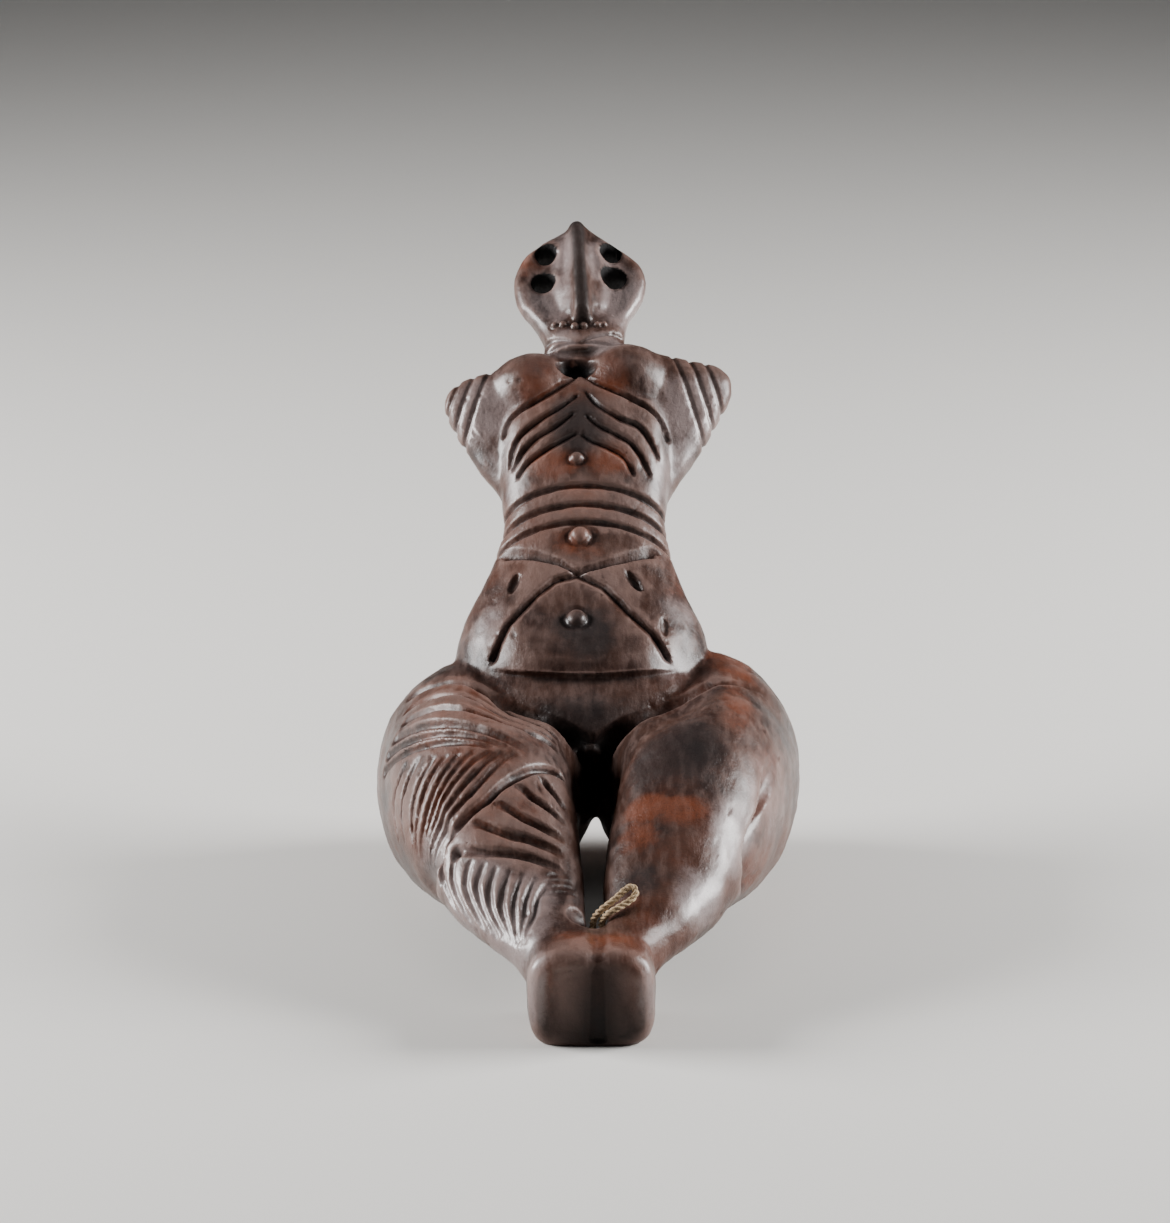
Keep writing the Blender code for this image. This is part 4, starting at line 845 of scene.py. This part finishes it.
def worn(obj):
    """Uneven places that the hand left, tool strokes and small pits, as shapes of the skin itself."""
    co, normal = vertex_rows(obj), vertex_rows(obj, "normal")
    push = np.empty(len(co))
    for k, point in enumerate(co / PART):
        place = Vector(point)
        uneven = noise.fractal(place * HAND_SCALE, *HAND_FRACTAL, noise_basis="PERLIN_ORIGINAL")
        grain = noise.noise(place * GRAIN_SCALE)
        nearest = noise.voronoi(place * PIT_SCALE)[0][0]
        pit = max(0.0, 1 - nearest / PIT_REACH) * (noise.noise(place * PIT_FIELD) > PIT_SHARE)
        push[k] = HAND_DEPTH * uneven + GRAIN_DEPTH * grain - PIT_DEPTH * pit * pit * (3 - 2 * pit)
    clear = ramp(co[:, 2], REST_SLACK, REST_SLACK + REST_FADE)
    move_vertices(obj, co + normal * (push * clear)[:, None])


def soot(obj, shift):
    """How much painted black shade each vertex gets: inside the holes, in the throat's hollow and along the
    nose's ridge, whose clay is also darker.
    """
    place = vertex_rows(obj) / PART - shift / PART
    x, up, out = head_chart(place)
    steeper = math.tan(math.radians(DRILL_STEEPER_DEG))
    share = np.zeros(len(place))
    for bx, at, size in EYE_HOLES:
        radius = size * EYE_HOLE_DIAMETER / PART / 2
        beyond = np.hypot(x - bx, (up - at - out * steeper) * math.cos(math.atan(steeper))) - radius
        share = np.maximum(share, (1 - ramp(beyond, 0.0, HOLE_SHADE)) * (np.abs(up - at) < HOLE_SHADE_REACH))
    ridge = (1 - ramp(np.abs(x - NOSE_ASIDE), *NOSE_SHADE)) * ramp(up, *NOSE_SHADE_FROM) * (out > 0)
    (hx, at), wide, long, _ = THROAT_HOLLOW
    aside, (up, back) = place[:, 0] - TRUNK_ASIDE, trunk_chart(place)
    hollow = np.hypot((aside - hx) / wide, (up - at) / long)
    pellet = np.hypot(aside - TRUNK_PELLETS[-1][0], up - TRUNK_PELLETS[-1][1]) < THROAT_PELLET
    throat = (1 - ramp(hollow, *THROAT_SHADE)) * (back < FRONT_DEPTH) * ~pellet
    return np.maximum(share, np.maximum(throat, NOSE_BLACK * ridge))


def finished(obj, slot, *nodes):
    """The piece is shaded smooth, rides on the frame and stands for its solids, which are hidden; the slot is not
    used.
    """
    for polygon in obj.data.polygons:
        polygon.use_smooth = True
    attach(obj, "root")
    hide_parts(*nodes)
    return obj


class Nodes:
    """Short ways to add and join shader nodes in one node tree."""

    def __init__(self, tree):
        self.tree = tree

    def add(self, kind, **values):
        node = self.tree.nodes.new(kind)
        for name, value in values.items():
            setattr(node, name, value)
        return node

    def put(self, value, socket):
        """Joins an output to a socket, or sets the socket to a plain value."""
        if isinstance(value, bpy.types.NodeSocket):
            self.tree.links.new(value, socket)
        else:
            socket.default_value = value

    def math(self, operation, *values, clamp=False):
        node = self.add("ShaderNodeMath", operation=operation, use_clamp=clamp)
        for value, socket in zip(values, node.inputs):
            self.put(value, socket)
        return node.outputs[0]

    def between(self, value, low, high, full=1.0):
        """Softly from 0 at the low value to full at the high one."""
        node = self.add("ShaderNodeMapRange", interpolation_type="SMOOTHSTEP")
        for name, number in (("Value", value), ("From Min", low), ("From Max", high), ("To Max", full)):
            self.put(number, node.inputs[name])
        return node.outputs["Result"]

    def mix(self, share, one, other):
        """A colour between two: inputs 0, 6 and 7 and output 2 are the node's factor and its colours."""
        node = self.add("ShaderNodeMix", data_type="RGBA")
        for value, k in ((share, 0), (one, 6), (other, 7)):
            self.put(value, node.inputs[k])
        return node.outputs[2]

    def noise(self, place, scale, detail, roughness):
        node = self.add("ShaderNodeTexNoise")
        for name, value in (("Vector", place), ("Scale", scale), ("Detail", detail), ("Roughness", roughness)):
            self.put(value, node.inputs[name])
        return node.outputs["Fac"]

    def mottle(self, place, *numbers):
        """The shared mottle effect: scale, detail and the two levels that it is eased between."""
        node = self.add("ShaderNodeGroup", node_tree=bpy.data.node_groups.get("mottle") or mottle_group())
        for value, socket in zip((place, *numbers), node.inputs):
            self.put(value, socket)
        return node.outputs["Share"]

    def attribute(self, name):
        return self.add("ShaderNodeAttribute", attribute_name=name).outputs["Fac"]

    def stretched(self, place, scale, turn):
        node = self.add("ShaderNodeMapping")
        for name, value in (("Vector", place), ("Scale", scale), ("Rotation", turn)):
            self.put(value, node.inputs[name])
        return node.outputs[0]


def new_material(name):
    made = bpy.data.materials.new(name)
    made.use_nodes = True
    made.node_tree.nodes.clear()
    nodes = Nodes(made.node_tree)
    shader = nodes.add("ShaderNodeBsdfPrincipled")
    shader.inputs["Specular IOR Level"].default_value = SPECULAR
    out = nodes.add("ShaderNodeOutputMaterial")
    nodes.put(shader.outputs[0], out.inputs[0])
    return made, nodes, shader


def mottle_group():
    """Noise at a place, eased between two levels into a share."""
    group = bpy.data.node_groups.new("mottle", "ShaderNodeTree")
    for name, kind in (("Place", "NodeSocketVector"), ("Scale", "NodeSocketFloat"), ("Detail", "NodeSocketFloat"),
                       ("Low", "NodeSocketFloat"), ("High", "NodeSocketFloat")):
        group.interface.new_socket(name=name, in_out="INPUT", socket_type=kind)
    group.interface.new_socket(name="Share", in_out="OUTPUT", socket_type="NodeSocketFloat")
    nodes = Nodes(group)
    given, share = nodes.add("NodeGroupInput"), nodes.add("NodeGroupOutput")
    noise_out = nodes.noise(given.outputs["Place"], given.outputs["Scale"], given.outputs["Detail"], 0.6)
    nodes.put(nodes.between(noise_out, given.outputs["Low"], given.outputs["High"]), share.inputs["Share"])
    return group


# Every material's plain reflection, and the clay's own polish, which shows most where the painted highlight lies.
SPECULAR = 0.15
COAT_LEAST = 0.3
COAT_ON_HIGHLIGHT = 0.7
COAT_ROUGHNESS = 0.32
# How the burnishing tool's traces are stretched along its strokes, and how the strokes lie.
STROKE_STRETCH = (1.0, 0.22, 0.55)
STROKE_TURN = (0.6, 0.0, 0.3)
# The clay's mottles: scale, detail and the two levels of noise that each is eased between.
TONE_MOTTLE = (75.0, 8.0, 0.34, 0.64)
WARM_MOTTLE = (33.0, 6.0, 0.48, 0.7)
STREAK_MOTTLE = (620.0, 8.0, 0.40, 0.68)
GRAIN_MOTTLE = (2300.0, 3.0, 0.56, 0.72)
WARM_COVER = 0.35
GRAIN_COVER = 0.4
# Each patch in turn: its colour, which is also its attribute, the level where it begins and how fully it covers.
CLAY_PATCHES = (("rust", 0.20, 0.75), ("smoke", 0.12, 0.8), ("sheen", 0.16, 0.92))
# Its edge wavers with this noise, by this much either way, and is this wide.
WAVER_NOISE = (190.0, 8.0, 0.75)
WAVER = 0.85
PATCH_FADE = 0.8
# Metres below the surroundings where the grooves' soot and painted shade, the raised edges' painted highlight and
# the wide dips' painted shade begin and are full.
GROOVE_LEVELS = (0.00008, 0.00075)
CREST_LEVELS = (-0.00009, -0.00040)
DIP_LEVELS = (0.0017, 0.0045)
# How much less dark the grooves and the painted shade in the dips are under the painted highlight, and how dark
# the painted shade in a dip is elsewhere.
GROOVE_DARK_LIFT = 0.45
DIP_SHADE_LIFT = 0.7
DIP_COVER = 0.8
# The black of the painted shade in the holes, the throat, along the nose, between the legs and on the front of
# the feet.
PAINTED_SHADE_BLACK = (0.004, 0.003, 0.003)
# What the streaks, and the grooves, the dips and the painted shade, add to the roughness.
STREAK_ROUGHNESS = 0.16
DULL_ROUGHNESS = 0.3
# The finest relief: noise along the strokes and noise everywhere, the share of each, and the height in metres.
STROKE_RELIEF = (700.0, 5.0, 0.65)
PLAIN_RELIEF = (1500.0, 5.0, 0.6)
STROKE_SHARE = 0.6
RELIEF_STRENGTH = 0.8
RELIEF_HEIGHT = 0.00035


def clay_material(finish):
    """Mottled clay, streaked and patched by fire and smoke, with patches of painted shade and of painted
    highlight that goes with the polish, soot and painted shade in the grooves, and painted shade in the dips,
    holes and hollows.
    """
    made, nodes, shader = new_material("burnished clay")
    place = nodes.add("ShaderNodeTexCoord").outputs["Object"]
    along = nodes.stretched(place, STROKE_STRETCH, STROKE_TURN)
    body = nodes.mix(nodes.mottle(place, *TONE_MOTTLE), (*finish.dark, 1), (*finish.body, 1))
    warm = nodes.math("MULTIPLY", nodes.mottle(place, *WARM_MOTTLE), WARM_COVER)
    body = nodes.mix(warm, body, (*finish.rust, 1))
    streaks = nodes.mottle(along, *STREAK_MOTTLE)
    body = nodes.mix(nodes.math("MULTIPLY", streaks, finish.streaks), body, (*finish.streak_and_highlight, 1))
    # The patches: rust red; smoke grey, partly painted shade; and painted highlight with polish.
    for name, low, cover in CLAY_PATCHES:
        waver = nodes.math("MULTIPLY_ADD", nodes.noise(place, *WAVER_NOISE), 2 * WAVER, -WAVER)
        wavering = nodes.math("ADD", nodes.attribute(name), waver)
        share = nodes.between(wavering, low, low + PATCH_FADE, cover)
        body = nodes.mix(share, body, (*getattr(finish, name), 1))
    grains = nodes.mottle(place, *GRAIN_MOTTLE)
    body = nodes.mix(nodes.math("MULTIPLY", grains, GRAIN_COVER), body, (*finish.dark, 1))
    # The grooves are darkened with their soot and with painted shade, less so under the painted highlight.
    deep = nodes.between(nodes.attribute("hollow"), *GROOVE_LEVELS)
    # Painted highlight along the raised edges, partly rubbed wear, in the pale streaks' colour, kept off the
    # smoke.
    ridge_highlight_share = nodes.between(nodes.attribute("hollow"), *CREST_LEVELS)
    ridge_highlight_share = nodes.math("MULTIPLY", ridge_highlight_share, nodes.math("SUBTRACT", 1.0, nodes.attribute("smoke"), clamp=True))
    body = nodes.mix(nodes.math("MULTIPLY", ridge_highlight_share, finish.crest_highlight), body, (*finish.streak_and_highlight, 1))
    kept = nodes.math("MULTIPLY_ADD", nodes.attribute("sheen"), -GROOVE_DARK_LIFT, finish.grooves)
    body = nodes.mix(nodes.math("MULTIPLY", deep, kept), body, (*finish.groove, 1))
    # Painted shade in the wide dips between the forms, such as the crotch, the armpits and the neck.
    dip = nodes.between(nodes.attribute("dip"), *DIP_LEVELS)
    kept = nodes.math("MULTIPLY_ADD", nodes.attribute("sheen"), -DIP_SHADE_LIFT, DIP_COVER, clamp=True)
    dip = nodes.math("MULTIPLY", dip, kept)
    body = nodes.mix(dip, body, (*finish.groove, 1))
    # Painted black shade in the holes, the throat's hollow, along the nose, between the legs and on the feet's
    # front.
    body = nodes.mix(nodes.attribute("soot"), body, (*PAINTED_SHADE_BLACK, 1))
    nodes.put(body, shader.inputs["Base Color"])
    dull = nodes.math("MAXIMUM", nodes.math("MAXIMUM", deep, nodes.attribute("soot")), dip)
    # More polish under the painted highlight, less in the grooves, the dips and the painted shade.
    polish = nodes.math("MULTIPLY_ADD", nodes.attribute("sheen"), COAT_ON_HIGHLIGHT, COAT_LEAST, clamp=True)
    nodes.put(nodes.math("MULTIPLY", polish, nodes.math("SUBTRACT", 1.0, dull)), shader.inputs["Coat Weight"])
    shader.inputs["Coat Roughness"].default_value = COAT_ROUGHNESS
    rough = nodes.math("MULTIPLY_ADD", streaks, STREAK_ROUGHNESS, finish.roughness)
    nodes.put(nodes.math("MULTIPLY_ADD", dull, DULL_ROUGHNESS, rough), shader.inputs["Roughness"])
    relief = nodes.math("MULTIPLY_ADD", nodes.noise(along, *STROKE_RELIEF), STROKE_SHARE,
                        nodes.math("MULTIPLY", nodes.noise(place, *PLAIN_RELIEF), 1 - STROKE_SHARE))
    bump = nodes.add("ShaderNodeBump")
    nodes.put(RELIEF_STRENGTH, bump.inputs["Strength"])
    nodes.put(RELIEF_HEIGHT, bump.inputs["Distance"])
    nodes.put(relief, bump.inputs["Height"])
    nodes.put(bump.outputs[0], shader.inputs["Normal"])
    return made


FIBRE_MOTTLE = (2600.0, 4.0, 0.3, 0.7)
TWINE_ROUGHNESS = 0.85
# The floor's mottle, how much of it shows, and how dark it is as a share of the floor's colour.
FLOOR_MOTTLE = (30.0, 3.0, 0.3, 0.7)
FLOOR_COVER = 0.04
FLOOR_DARKER = 0.9
FLOOR_ROUGHNESS = 0.7


def twine_material(finish):
    made, nodes, shader = new_material("twisted twine")
    place = nodes.add("ShaderNodeTexCoord").outputs["Object"]
    body = nodes.mix(nodes.mottle(place, *FIBRE_MOTTLE), (*finish.shade, 1), (*finish.light, 1))
    nodes.put(body, shader.inputs["Base Color"])
    shader.inputs["Roughness"].default_value = TWINE_ROUGHNESS
    return made


def floor_material(tone):
    made, nodes, shader = new_material("pale floor")
    place = nodes.add("ShaderNodeTexCoord").outputs["Object"]
    share = nodes.math("MULTIPLY", nodes.mottle(place, *FLOOR_MOTTLE), FLOOR_COVER)
    darker = [FLOOR_DARKER * part for part in tone]
    nodes.put(nodes.mix(share, (*tone, 1), (*darker, 1)), shader.inputs["Base Color"])
    shader.inputs["Roughness"].default_value = FLOOR_ROUGHNESS
    return made


# Wear of the skin: scales per part of the figure's length, depths in metres.
HAND_SCALE = 0.16
HAND_DEPTH = 0.00022
# The share that each finer layer keeps, how much finer it is, and how many there are.
HAND_FRACTAL = (0.9, 2.1, 3)
GRAIN_SCALE = 0.9
GRAIN_DEPTH = 0.00003
PIT_SCALE = 0.33
PIT_REACH = 0.24
PIT_FIELD = 0.11
PIT_SHARE = 0.08
PIT_DEPTH = 0.00028
# The painted shade in the holes fades this far outside them, and keeps to this far up and down the head.
HOLE_SHADE = 0.22
HOLE_SHADE_REACH = 9
# The painted shade on the nose's ridge, over its darker clay: where it fades to either side, where it comes in up
# the head, and how black it is.
NOSE_SHADE = (0.9, 2.0)
NOSE_SHADE_FROM = (0, 4)
NOSE_BLACK = 0.85
# The painted shade in the throat's hollow: where it fades, as shares of its radii, and the radius of the pellet
# that is kept out of it.
THROAT_SHADE = (0.4, 1.15)
THROAT_PELLET = 0.7
# Rounds of averaging that find the grooves and edges, and the wide dips between the forms.
GROOVE_ROUNDS = 14
DIP_ROUNDS = 120
# Patches on the fired clay fade between these shares of their radii.
SPOT_EDGE = (0.3, 1.5)
# Patches of painted shade between the legs and on the front of the feet; of rust red; of smoke grey, partly
# painted shade; and of painted highlight: middle, radii and strength, in parts from the origin.
PAINTED_SHADE_SPOTS = (
    ((0, -7, 28), (5, 5, 4), 0.97), ((0, -6, 22), (6, 6, 6), 0.97), ((0.5, -94, 4), (9, 3, 8), 0.9),
    ((2, -94, 12), (5, 3, 5), 0.8))
RUST_SPOTS = (
    ((-11, 51, 89), (4, 6, 6), 0.8), ((5, 52, 89), (4, 7, 6), 0.8), ((-12, 82, 106), (3, 5, 4), 0.8),
    ((-7, 36, 74), (6, 5, 4), 0.9), ((4, 36, 75), (6, 5, 4), 0.9), ((-1, 31, 70), (6, 3, 3), 0.8),
    ((-1, 28, 67), (7, 3, 3), 0.6), ((-2, 22, 62), (7, 5, 4), 0.6), ((17, 18, 52), (3, 5, 3), 0.5),
    ((28, 10, 40), (6, 13, 6), 0.8), ((28, -21, 41), (4, 20, 5), 0.7), ((34, -37, 28), (7, 27, 9), 0.6),
    ((30, -46, 17), (6, 15, 7), 0.6), ((10, -52, 31), (6, 4, 5), 1.0), ((17, -53, 30), (6, 4, 5), 0.9),
    ((8, -58, 27), (5, 5, 4), 0.8), ((1, -86, 17), (9, 5, 3), 0.6), ((-8, -94, 10), (3, 3, 6), 0.7),
    ((-23, -32, 40), (17, 36, 11), 0.5), ((-20, -53, 29), (17, 18, 9), 0.5), ((-14, -71, 20), (12, 10, 7), 0.4))
# Smoke clouds on the knee and the ankle; on the belly's middle, the chest, the breasts' tops and the pubis these
# patches are painted shade where the front faces away from the side lights.
SMOKE_AND_SHADE_SPOTS = (
    ((17, -38, 37), (10, 12, 7), 1.0), ((12, -40, 35), (7, 10, 8), 0.9), ((9, -68, 22), (5, 5, 5), 0.7),
    ((-1, 3, 48), (7, 9, 6), 0.9), ((-2, 43, 81), (7, 10, 8), 1.0), ((-11, 52, 91), (4, 5, 4), 0.6),
    ((6, 53, 91), (5, 5, 4), 0.6), ((-13, 30, 64), (5, 11, 8), 0.4), ((-22, 7, 42), (10, 8, 4), 0.3),
    ((-2, -8, 34), (12, 6, 5), 0.8), ((4, -12, 37), (9, 12, 5), 0.5))
# Painted highlight, pale where the side lights fall on the arms, face, neck, shins, feet and hips; the same
# patches also get more polish.
HIGHLIGHT_SPOTS = (
    ((27, -55, 26), (6, 12, 7), 1.0), ((20, -69, 19), (6, 7, 6), 0.9), ((16, 3, 41), (6, 4, 4), 0.5),
    ((32, -38, 25), (9, 26, 10), 0.4), ((21, 51, 82), (8, 9, 8), 1.0), ((-22, 50, 82), (8, 9, 8), 0.9),
    ((-18, 44, 74), (4, 5, 6), 0.6), ((19, 45, 74), (4, 6, 6), 0.7), ((-8, 73, 101), (6, 10, 8), 0.8),
    ((7, 73, 100), (6, 10, 8), 1.0), ((15, 39, 70), (3, 8, 6), 0.7), ((-15, 38, 70), (3, 8, 6), 0.5),
    ((-21, -68, 19), (9, 10, 9), 1.0), ((-14, -78, 14), (8, 8, 8), 1.0), ((-27, -56, 23), (8, 9, 9), 0.7),
    ((-9, -92, 10), (2, 4, 8), 1.0), ((10, -92, 9), (2, 4, 8), 0.7), ((18, 14, 50), (4, 5, 5), 0.6),
    ((-19, 10, 48), (4, 6, 5), 0.6), ((-6, 61, 94), (4, 4, 5), 0.8), ((3, 60, 94), (4, 4, 5), 0.8),
    ((-11, -73, 20), (6, 8, 6), 0.9), ((-5, 81, 109), (4, 8, 6), 0.9), ((3, 80, 108), (4, 8, 6), 1.0))


def colour(name, text, value):
    return FloatVectorProperty(name=name, description=text, default=value, size=3, min=0.0, max=1.0,
                               subtype="COLOR")


def factor(name, text, value, low=0.0):
    return FloatProperty(name=name, description=text, default=value, min=low, max=1.0, subtype="FACTOR")


def watts(name, text, value):
    return FloatProperty(name=name, description=text, default=value, min=0.0, max=500.0, unit="POWER")


def metres(name, text, value, low, high):
    return FloatProperty(name=name, description=text, default=value, min=low, max=high, unit="LENGTH")


class ClayFinish(PropertyGroup):
    dark: colour("Dark clay", "The darker tone of the fired clay", (0.020, 0.0100, 0.0083))
    body: colour("Clay", "The lighter tone of the fired clay", (0.052, 0.0225, 0.0150))
    rust: colour("Rust", "The red patches where the fire had air", (0.160, 0.041, 0.016))
    # The smoke colour is both smoke clouding and painted shade on front-facing parts.
    smoke: colour("Smoke", "The grey patches where smoke lay on the clay", (0.0175, 0.0140, 0.0140))
    # The sheen colour is painted highlight.
    sheen: colour("Sheen", "The pale, most polished patches", (0.21, 0.158, 0.150))
    # The groove colour is soot and painted shade in the grooves, and painted shade in the dips.
    groove: colour("Grooves", "The soot left in the carving", (0.006, 0.005, 0.005))
    # The bloom colour is the burnished streaks and the painted highlight on raised edges.
    streak_and_highlight: colour("Bloom", "The pale streaks of the burnished skin", (0.26, 0.165, 0.14))
    streaks: factor("Streaks", "How much the pale streaks cover", 0.22)
    # Painted highlight on raised edges, partly rubbed wear.
    crest_highlight: factor("Crests", "How worn and pale the raised edges are", 0.45)
    # This is how much soot and painted shade the grooves get.
    grooves: factor("Groove soot", "How much soot is left in the carving", 0.7)
    roughness: factor("Roughness", "How dull the burnished skin is", 0.34, 0.1)


class TwineFinish(PropertyGroup):
    light: colour("Light fibre", "The twine's pale fibres", (0.55, 0.42, 0.27))
    shade: colour("Dark fibre", "The twine's darker fibres", (0.28, 0.18, 0.10))
    plies: IntProperty(name="Plies", description="How many strands are twisted together", default=3, min=2, max=4)
    lay: metres("Lay", "How far along the twine one full turn of a ply takes", 0.0036, 0.001, 0.02)


class StageSetup(PropertyGroup):
    floor: colour("Floor", "The pale floor and backdrop", (0.72, 0.70, 0.67))
    side_power: watts("Side lights", "Power of each of the two side lights", 18.0)
    top_power: watts("Top light", "Power of the soft light above", 0.8)
    distance: metres("Camera distance", "From the camera to the point that it looks at", 0.8, 0.2, 5.0)
    elevation: FloatProperty(name="Camera elevation", description="How steeply the camera looks down",
                             default=math.radians(15.0), min=0.0, max=math.pi / 2, subtype="ANGLE")


class FIGURINE_OT_body(Operator):
    """Models the clay figurine with its carving"""

    bl_idname = "figurine.body"
    bl_label = "Figurine"
    bl_options = {"REGISTER", "UNDO"}

    def execute(self, context):
        figure = joined("carved_figurine", [body_object(), head_object(), nose_object()])
        melted(figure)
        carve(figure)
        cut_flat(figure)
        thinned(figure)
        drill_eyes(figure)
        worn(figure)
        shift = fitted(figure, "figurine")
        # The holes, the throat, the nose's ridge, the crotch and the feet's front get painted black shade.
        note(figure, "soot", np.maximum(soot(figure, shift), patches(figure, PAINTED_SHADE_SPOTS)))
        note(figure, "hollow", hollows(figure, GROOVE_ROUNDS))
        # The wide dips, where painted shade goes.
        note(figure, "dip", hollows(figure, DIP_ROUNDS))
        for name, spots in (("rust", RUST_SPOTS), ("smoke", SMOKE_AND_SHADE_SPOTS), ("sheen", HIGHLIGHT_SPOTS)):
            note(figure, name, patches(figure, spots))
        figure.data.materials.clear()
        figure.data.materials.append(clay_material(context.scene.figurine_clay))
        finished(figure, "clay", "figurine")
        return {"FINISHED"}


# The twine's points along its route, in parts; then each ply's distance from the twine's middle and its radius,
# as shares of half the twine's radius, and the sides of its cross-section.
ROUTE_STEP = 0.3
PLY_APART = 0.94
PLY_THICKER = 1.02
PLY_SIDES = 10


class FIGURINE_OT_twine(Operator):
    """Twists the bight of twine in the hole above the feet"""

    bl_idname = "figurine.twine"
    bl_label = "Twine"
    bl_options = {"REGISTER", "UNDO"}

    def execute(self, context):
        finish = context.scene.figurine_twine
        middle = (Vector(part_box("twine")[0]) + Vector(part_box("twine")[1])) / 2
        line = np.array(supple(np.array(TWINE_ROUTE), ROUTE_STEP)) * PART
        line += np.array(middle) - (line.min(axis=0) + line.max(axis=0)) / 2
        along = np.gradient(line, axis=0)
        along /= np.linalg.norm(along, axis=1)[:, None]
        run = np.concatenate([[0], np.cumsum(np.linalg.norm(np.diff(line, axis=0), axis=1))])
        side = np.zeros_like(line)
        side[0] = np.cross(along[0], (0, 0, 1))
        side[0] /= np.linalg.norm(side[0])
        for k in range(1, len(line)):
            kept = side[k - 1] - along[k] * (side[k - 1] @ along[k])
            side[k] = kept / np.linalg.norm(kept)
        other = np.cross(along, side)
        ply = TWINE_DIAMETER / 4
        bm = bmesh.new()
        for strand in range(finish.plies):
            turn = 2 * math.pi * (run / finish.lay + strand / finish.plies)
            centre = line + ply * PLY_APART * (np.cos(turn)[:, None] * side + np.sin(turn)[:, None] * other)
            rings = []
            for c, s, o in zip(centre, side, other):
                rings.append([Vector(c + ply * PLY_THICKER * (math.cos(a) * s + math.sin(a) * o))
                              for a in np.arange(PLY_SIDES) * 2 * math.pi / PLY_SIDES])
            loft(bm, rings)
        twine = object_from("twisted_twine", bm)
        twine.data.materials.append(twine_material(finish))
        finished(twine, "twine", "twine")
        return {"FINISHED"}


# The floor's half width, the height of the backdrop and the size of the bend between them, in metres.
FLOOR_HALF = 3.0
BACKDROP_HEIGHT = 2.5
FLOOR_BEND = 1.2
# Each light's name, place, size and the setting for its power; all look at one point.
LIGHTS = (("left light", (-0.8, 0.1, 0.36), 0.4, "side_power"),
          ("right light", (0.8, 0.1, 0.36), 0.4, "side_power"),
          ("top light", (0.0, 0.0, 1.2), 0.6, "top_power"))
LIGHT_AIM = (0, 0, 0.04)
SKY_COLOUR = (0.8, 0.82, 0.85, 1)
SKY_STRENGTH = 0.08
# The camera looks at this point, in metres, with this focal length in the photograph's pixels.
CAMERA_AIM = (-0.00079, -0.00637, 0.055)
FOCAL_PIXELS = 4200.0
PHOTO_HEIGHT = 1223
SENSOR = 36.0


class FIGURINE_OT_stage(Operator):
    """Sets up the pale floor, the soft lights and the camera"""

    bl_idname = "figurine.stage"
    bl_label = "Stage"
    bl_options = {"REGISTER", "UNDO"}

    def execute(self, context):
        setup = context.scene.figurine_stage
        bm = bmesh.new()
        bmesh.ops.create_grid(bm, x_segments=1, y_segments=1, size=FLOOR_HALF)
        edge = max(bm.edges, key=lambda e: sum(v.co.y for v in e.verts))
        raised = bmesh.ops.extrude_edge_only(bm, edges=[edge])["geom"]
        raised = [part for part in raised if isinstance(part, bmesh.types.BMVert)]
        bmesh.ops.translate(bm, verts=raised, vec=(0, 0, BACKDROP_HEIGHT))
        bmesh.ops.bevel(bm, geom=[e for e in bm.edges if e.is_manifold], offset=FLOOR_BEND, segments=24,
                        profile=0.5, affect="EDGES", material=-1)
        floor = object_from("floor", bm)
        for polygon in floor.data.polygons:
            polygon.use_smooth = True
        floor.data.materials.append(floor_material(setup.floor))
        for name, place, size, power in LIGHTS:
            lamp = bpy.data.lights.new(name, "AREA")
            lamp.energy, lamp.size = getattr(setup, power), size
            holder = bpy.data.objects.new(name, lamp)
            context.scene.collection.objects.link(holder)
            holder.location = place
            holder.rotation_mode = "QUATERNION"
            holder.rotation_quaternion = (Vector(LIGHT_AIM) - Vector(place)).to_track_quat("-Z", "Y")
        world = bpy.data.worlds.new("studio")
        world.use_nodes = True
        sky = world.node_tree.nodes["Background"].inputs
        sky["Color"].default_value, sky["Strength"].default_value = SKY_COLOUR, SKY_STRENGTH
        context.scene.world = world
        camera = bpy.data.objects.new("camera", bpy.data.cameras.new("camera"))
        context.scene.collection.objects.link(camera)
        camera.data.sensor_width = SENSOR
        camera.data.lens = FOCAL_PIXELS / PHOTO_HEIGHT * SENSOR
        look = Vector((0, math.cos(setup.elevation), -math.sin(setup.elevation)))
        camera.location = Vector(CAMERA_AIM) - look * setup.distance
        camera.rotation_mode = "QUATERNION"
        camera.rotation_quaternion = look.to_track_quat("-Z", "Y")
        camera.data.clip_start = 0.01
        context.scene.camera = camera
        return {"FINISHED"}


class FIGURINE_PT_panel(Panel):
    """Lists the figurine's settings and the steps that build it"""

    bl_idname = "FIGURINE_PT_panel"
    bl_label = "Figurine"
    bl_space_type = "VIEW_3D"
    bl_region_type = "UI"
    bl_category = "Figurine"

    def draw(self, context):
        for name, group, operator in STEPS:
            box = self.layout.box()
            settings = getattr(context.scene, name)
            for field in group.__annotations__:
                box.prop(settings, field)
            box.operator(operator.bl_idname)


STEPS = (("figurine_clay", ClayFinish, FIGURINE_OT_body), ("figurine_twine", TwineFinish, FIGURINE_OT_twine),
         ("figurine_stage", StageSetup, FIGURINE_OT_stage))


def register():
    for name, group, operator in STEPS:
        bpy.utils.register_class(group)
        bpy.utils.register_class(operator)
        setattr(bpy.types.Scene, name, PointerProperty(type=group))
    bpy.utils.register_class(FIGURINE_PT_panel)


def unregister():
    bpy.utils.unregister_class(FIGURINE_PT_panel)
    for name, group, operator in reversed(STEPS):
        delattr(bpy.types.Scene, name)
        bpy.utils.unregister_class(operator)
        bpy.utils.unregister_class(group)


def main():
    register()
    bpy.ops.figurine.body()
    bpy.ops.figurine.twine()
    bpy.ops.figurine.stage()


if __name__ == "__main__":
    main()
